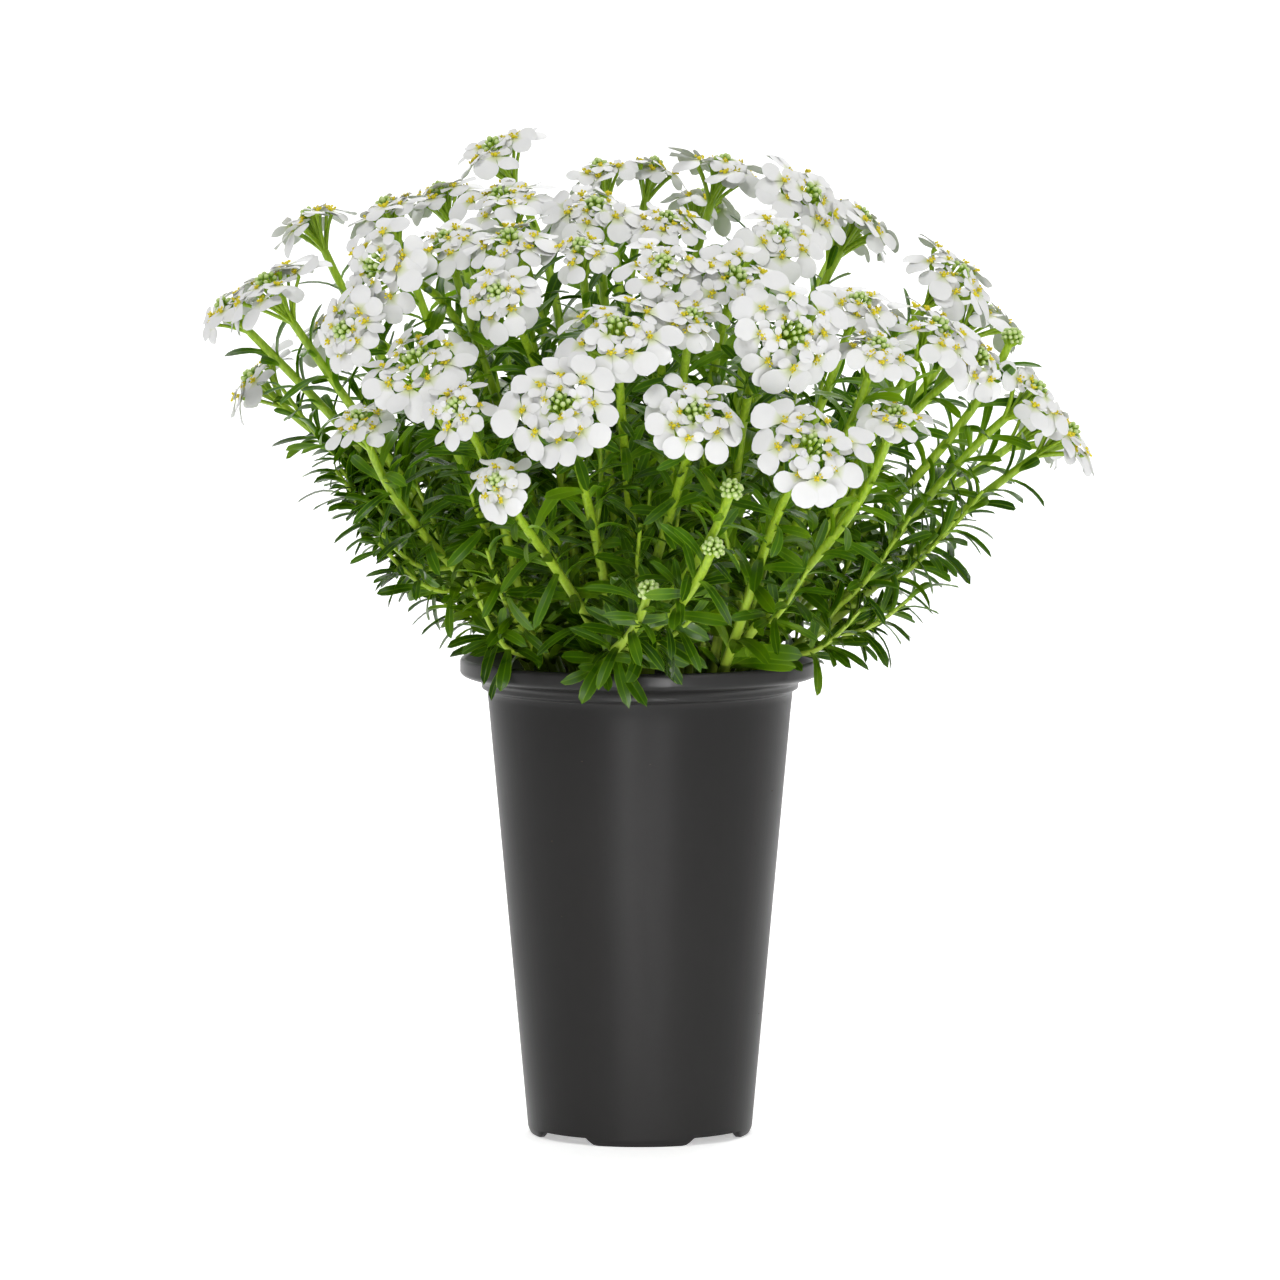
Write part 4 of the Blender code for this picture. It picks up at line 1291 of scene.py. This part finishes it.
def sidewaysFrom(along, turn):
    sideways = along.orthogonal().normalized()
    sideways.rotate(Matrix.Rotation(turn, 3, along))
    return sideways


def leafSpot(root, along, spin, length, lean, draws):
    heading = along * math.cos(lean) + sidewaysFrom(along, spin) * math.sin(lean)
    spread = leafPlan["rollSpread"]
    roll = Matrix.Rotation(math.radians(draws.uniform(-spread, spread)), 3, "X")
    rotation = axesFrom(heading, along + up * 0.25) @ roll
    shapes = leafPlan["shapes"]
    kind = draws.choices(range(len(shapes)), leafPlan["chances"])[0]
    tip = root + heading * length - (rotation @ up) * length * shapes[kind][0]
    if not clearOfPot((tip, root + heading * length * 0.55)):
        return None
    wide = length * draws.uniform(*leafPlan["widths"])
    return root, rotation, (length, wide, length), kind


def leavesAlong(line, count, size, low, high, draws):
    spots = []
    spin = draws.uniform(0, math.tau)
    spread = leafPlan["turnSpread"]
    for index in range(count):
        spin += goldenTurn
        share = low + (high - low) * ((index + draws.random()) / count) ** leafPlan["crowding"]
        root, along = pointAlong(line, share)
        for attempt in range(leafPlan["tries"]):
            lean = math.radians(draws.uniform(*leafPlan["lean"]) - 14 * share)
            length = size * draws.uniform(*leafPlan["lengths"]) * (1.08 - 0.30 * share)
            turn = spin + attempt * leafPlan["tryTurn"] + draws.uniform(-spread, spread)
            spot = leafSpot(root, along, turn, length, lean, draws)
            if spot:
                spots.append(spot)
                break
    return spots


def shootLine(line, share, hangs, draws):
    # A short leafy side shoot that leaves a branch, on its lower side where it hangs, and bends up
    root, along = pointAlong(line, share)
    sides = [sidewaysFrom(along, draws.uniform(0, math.tau)) for _ in range(4 if hangs else 1)]
    sideways = min(sides, key=lambda side: side.z)
    length = leafPlan["shootLength"] * draws.uniform(*leafPlan["shootLengths"])
    first = root + (along * 0.6 + sideways * 0.7).normalized() * length * 0.45
    end = root + (along * 1.0 + sideways * 0.55 + up * 0.25).normalized() * length
    steps = leafPlan["shootSteps"]
    return [bezier(root, root.lerp(first, 0.7), first, end, step / steps)
            for step in range(steps + 1)]


def budCluster(line, facing, draws):
    # A round cluster of buds at the end of a branch, and a thin stalk to each
    own = turnedTowards(facing)
    buds, stalks = [], []
    for index in range(clusterPlan["buds"]):
        height = 1 - clusterPlan["drop"] * (index + 0.5) / clusterPlan["buds"]
        turn = goldenTurn * index
        flat = math.sqrt(max(1 - height * height, 0))
        lean = Vector((flat * math.cos(turn), flat * math.sin(turn), height))
        away = lean * clusterPlan["radius"] * clusterPlan["share"] + up * clusterPlan["lift"]
        place = line[-1] + own @ away
        size = draws.uniform(*clusterPlan["sizes"]) * mm
        buds.append((place, own @ turnedTowards(lean), size, 0))
        start = line[-1] - facing * clusterPlan["stalkDrop"]
        stalks.append(([start, place], clusterPlan["stalkRadii"]))
    return buds, stalks


def branchPath(end, line, facing):
    # A branch from below the soil's top, and on into the head if it carries one
    steps = len(line) - 1
    change = stemPlan["topRadius"] - stemPlan["radius"]
    radii = [stemPlan["radius"] + change * step / steps for step in range(steps + 1)]
    points = [line[0] - up * stemPlan["sunk"]] + line
    radii = [radii[0]] + radii
    if len(end) > 3:
        deep = (headFrame(end)[0] - line[-1]).length
        points.append(line[-1] + facing * deep * stemPlan["intoHead"])
        radii.append(stemPlan["headRadius"])
    return points, radii


def makeStems():
    draws = random.Random(plant["seed"] + 1)
    thin = [leafPlan["shootRadius"] * (1 - 0.05 * step) for step in range(leafPlan["shootSteps"] + 1)]
    total = 0
    for name, plan in stems.items():
        paths, shoots, spots, buds = [], [], [], []
        for end, (line, facing) in stemLines(plan).items():
            paths.append(branchPath(end, line, facing))
            spots += leavesAlong(line, leafPlan["perBranch"], leafPlan["length"],
                                 leafPlan["lowest"], leafPlan["highest"], draws)
            plain = draws.choice(leafPlan["shoots"])
            for index in range(plain + leafPlan["hangingShoots"].get(name, 0)):
                share = draws.uniform(*leafPlan["shootFrom"])
                shoot = shootLine(line, share, index >= plain, draws)
                if not clearOfPot(shoot[3:]):
                    continue
                shoots.append((shoot, thin))
                spots += leavesAlong(shoot, leafPlan["perShoot"],
                                     leafPlan["length"] * leafPlan["shootLeaf"], 0.2, 1.0, draws)
            if len(end) == 3:
                more, stalks = budCluster(line, facing, draws)
                buds += more
                stalksOf[name] += stalks
        meshes = [
            tubes("branches", paths, stemPlan["branchSides"], stemFinish),
            tubes("shoots", shoots, stemPlan["shootSides"], stemFinish),
            tubes("stalks", stalksOf[name], stemPlan["stalkSides"], stemFinish),
            copies("leaves", spots, leafShapes, leafFinish),
        ]
        if buds:
            meshes.append(copies("buds", buds, budShapes, budFinish))
        mesh = joinedMesh(f"leafy_stem_{name}", meshes)
        total += len(mesh.polygons)
        pieceFrom(mesh, "leaf_and_stem", f"stem_{name}")
    print("leafy stems made, faces:", total)


makeStems()
clearShapes(floretShapes, antherShapes, budShapes, leafShapes)


# Floor, light and camera

# Each light is its place, its aim, its size, its spread in degrees and its power in watts. The two
# low strips draw the soft upright lights down the front of the pot
studio = {
    "floorColor": (0.86, 0.86, 0.86), "floorRoughness": 0.7, "floorGlow": 0.45, "skyLight": 0.19,
    "front": -4, "bendStart": 0.8, "bendRadius": 1, "bendSteps": 24, "wallTop": 5, "halfWidth": 6,
    "lights": {
        "key": ((-0.7, -1.5, 1.9), (0, 0, 0.15), (0.9, 0.9), 180, 25),
        "fill": ((1.4, -1.3, 0.9), (0, 0, 0.13), (1.2, 1.2), 180, 13.5),
        "back": ((0.3, 1.3, 1.7), (0, 0, 0.16), (1.2, 1.2), 180, 16),
        "strip_left": ((-0.09, -0.6, 0.03), (0, 0, 0.045), (0.06, 0.045), 24, 0.034),
        "strip_right": ((0.17, -0.6, 0.03), (0, 0, 0.045), (0.05, 0.045), 24, 0.024),
    },
    "lens": 238.1, "sensorWidth": 36, "farthest": 50,
    "cameraPlace": (0, -1.920, 0.290), "cameraDip": 5.27,
}


def makeFloor():
    # A floor that curves up into a wall behind the pot
    start, radius, steps = studio["bendStart"], studio["bendRadius"], studio["bendSteps"]
    profile = [(studio["front"], 0), (start, 0)]
    for step in range(1, steps + 1):
        turn = math.pi / 2 * step / steps
        profile.append((start + radius * math.sin(turn), radius * (1 - math.cos(turn))))
    profile.append((start + radius, studio["wallTop"]))
    rows = len(profile)
    places = [(side * studio["halfWidth"], y, z) for side in (-1, 1) for y, z in profile]
    faces = [(row, rows + row, rows + row + 1, row + 1) for row in range(rows - 1)]
    mesh = bpy.data.meshes.new("floor")
    mesh.from_pydata(places, [], faces)
    mesh.shade_smooth()
    finish, _, _ = newMaterial("pale floor", studio["floorColor"], studio["floorRoughness"], {
        "Emission Color": (1, 1, 1, 1), "Emission Strength": studio["floorGlow"],
    })
    mesh.materials.append(finish)
    return intoScene("floor", mesh)


def makeStage():
    makeFloor()

    world = bpy.data.worlds.new("studio")
    scene.world = world
    world.use_nodes = True
    setInputs(world.node_tree.nodes["Background"], {
        "Color": (1, 1, 1, 1), "Strength": studio["skyLight"],
    })
    for name, (place, aim, size, spread, power) in studio["lights"].items():
        light = bpy.data.lights.new(name, "AREA")
        light.shape = "RECTANGLE"
        light.size, light.size_y = size
        light.spread = math.radians(spread)
        light.energy = power
        lamp = intoScene(name, light)
        lamp.location = place
        lamp.rotation_euler = (Vector(aim) - Vector(place)).to_track_quat("-Z", "Y").to_euler()

    eye = bpy.data.cameras.new("camera")
    eye.lens = studio["lens"]
    eye.sensor_width = studio["sensorWidth"]
    eye.clip_end = studio["farthest"]
    camera = intoScene("camera", eye)
    camera.location = studio["cameraPlace"]
    camera.rotation_euler = (math.radians(90 - studio["cameraDip"]), 0, 0)
    scene.camera = camera
    scene.view_settings.view_transform = "Standard"


makeStage()
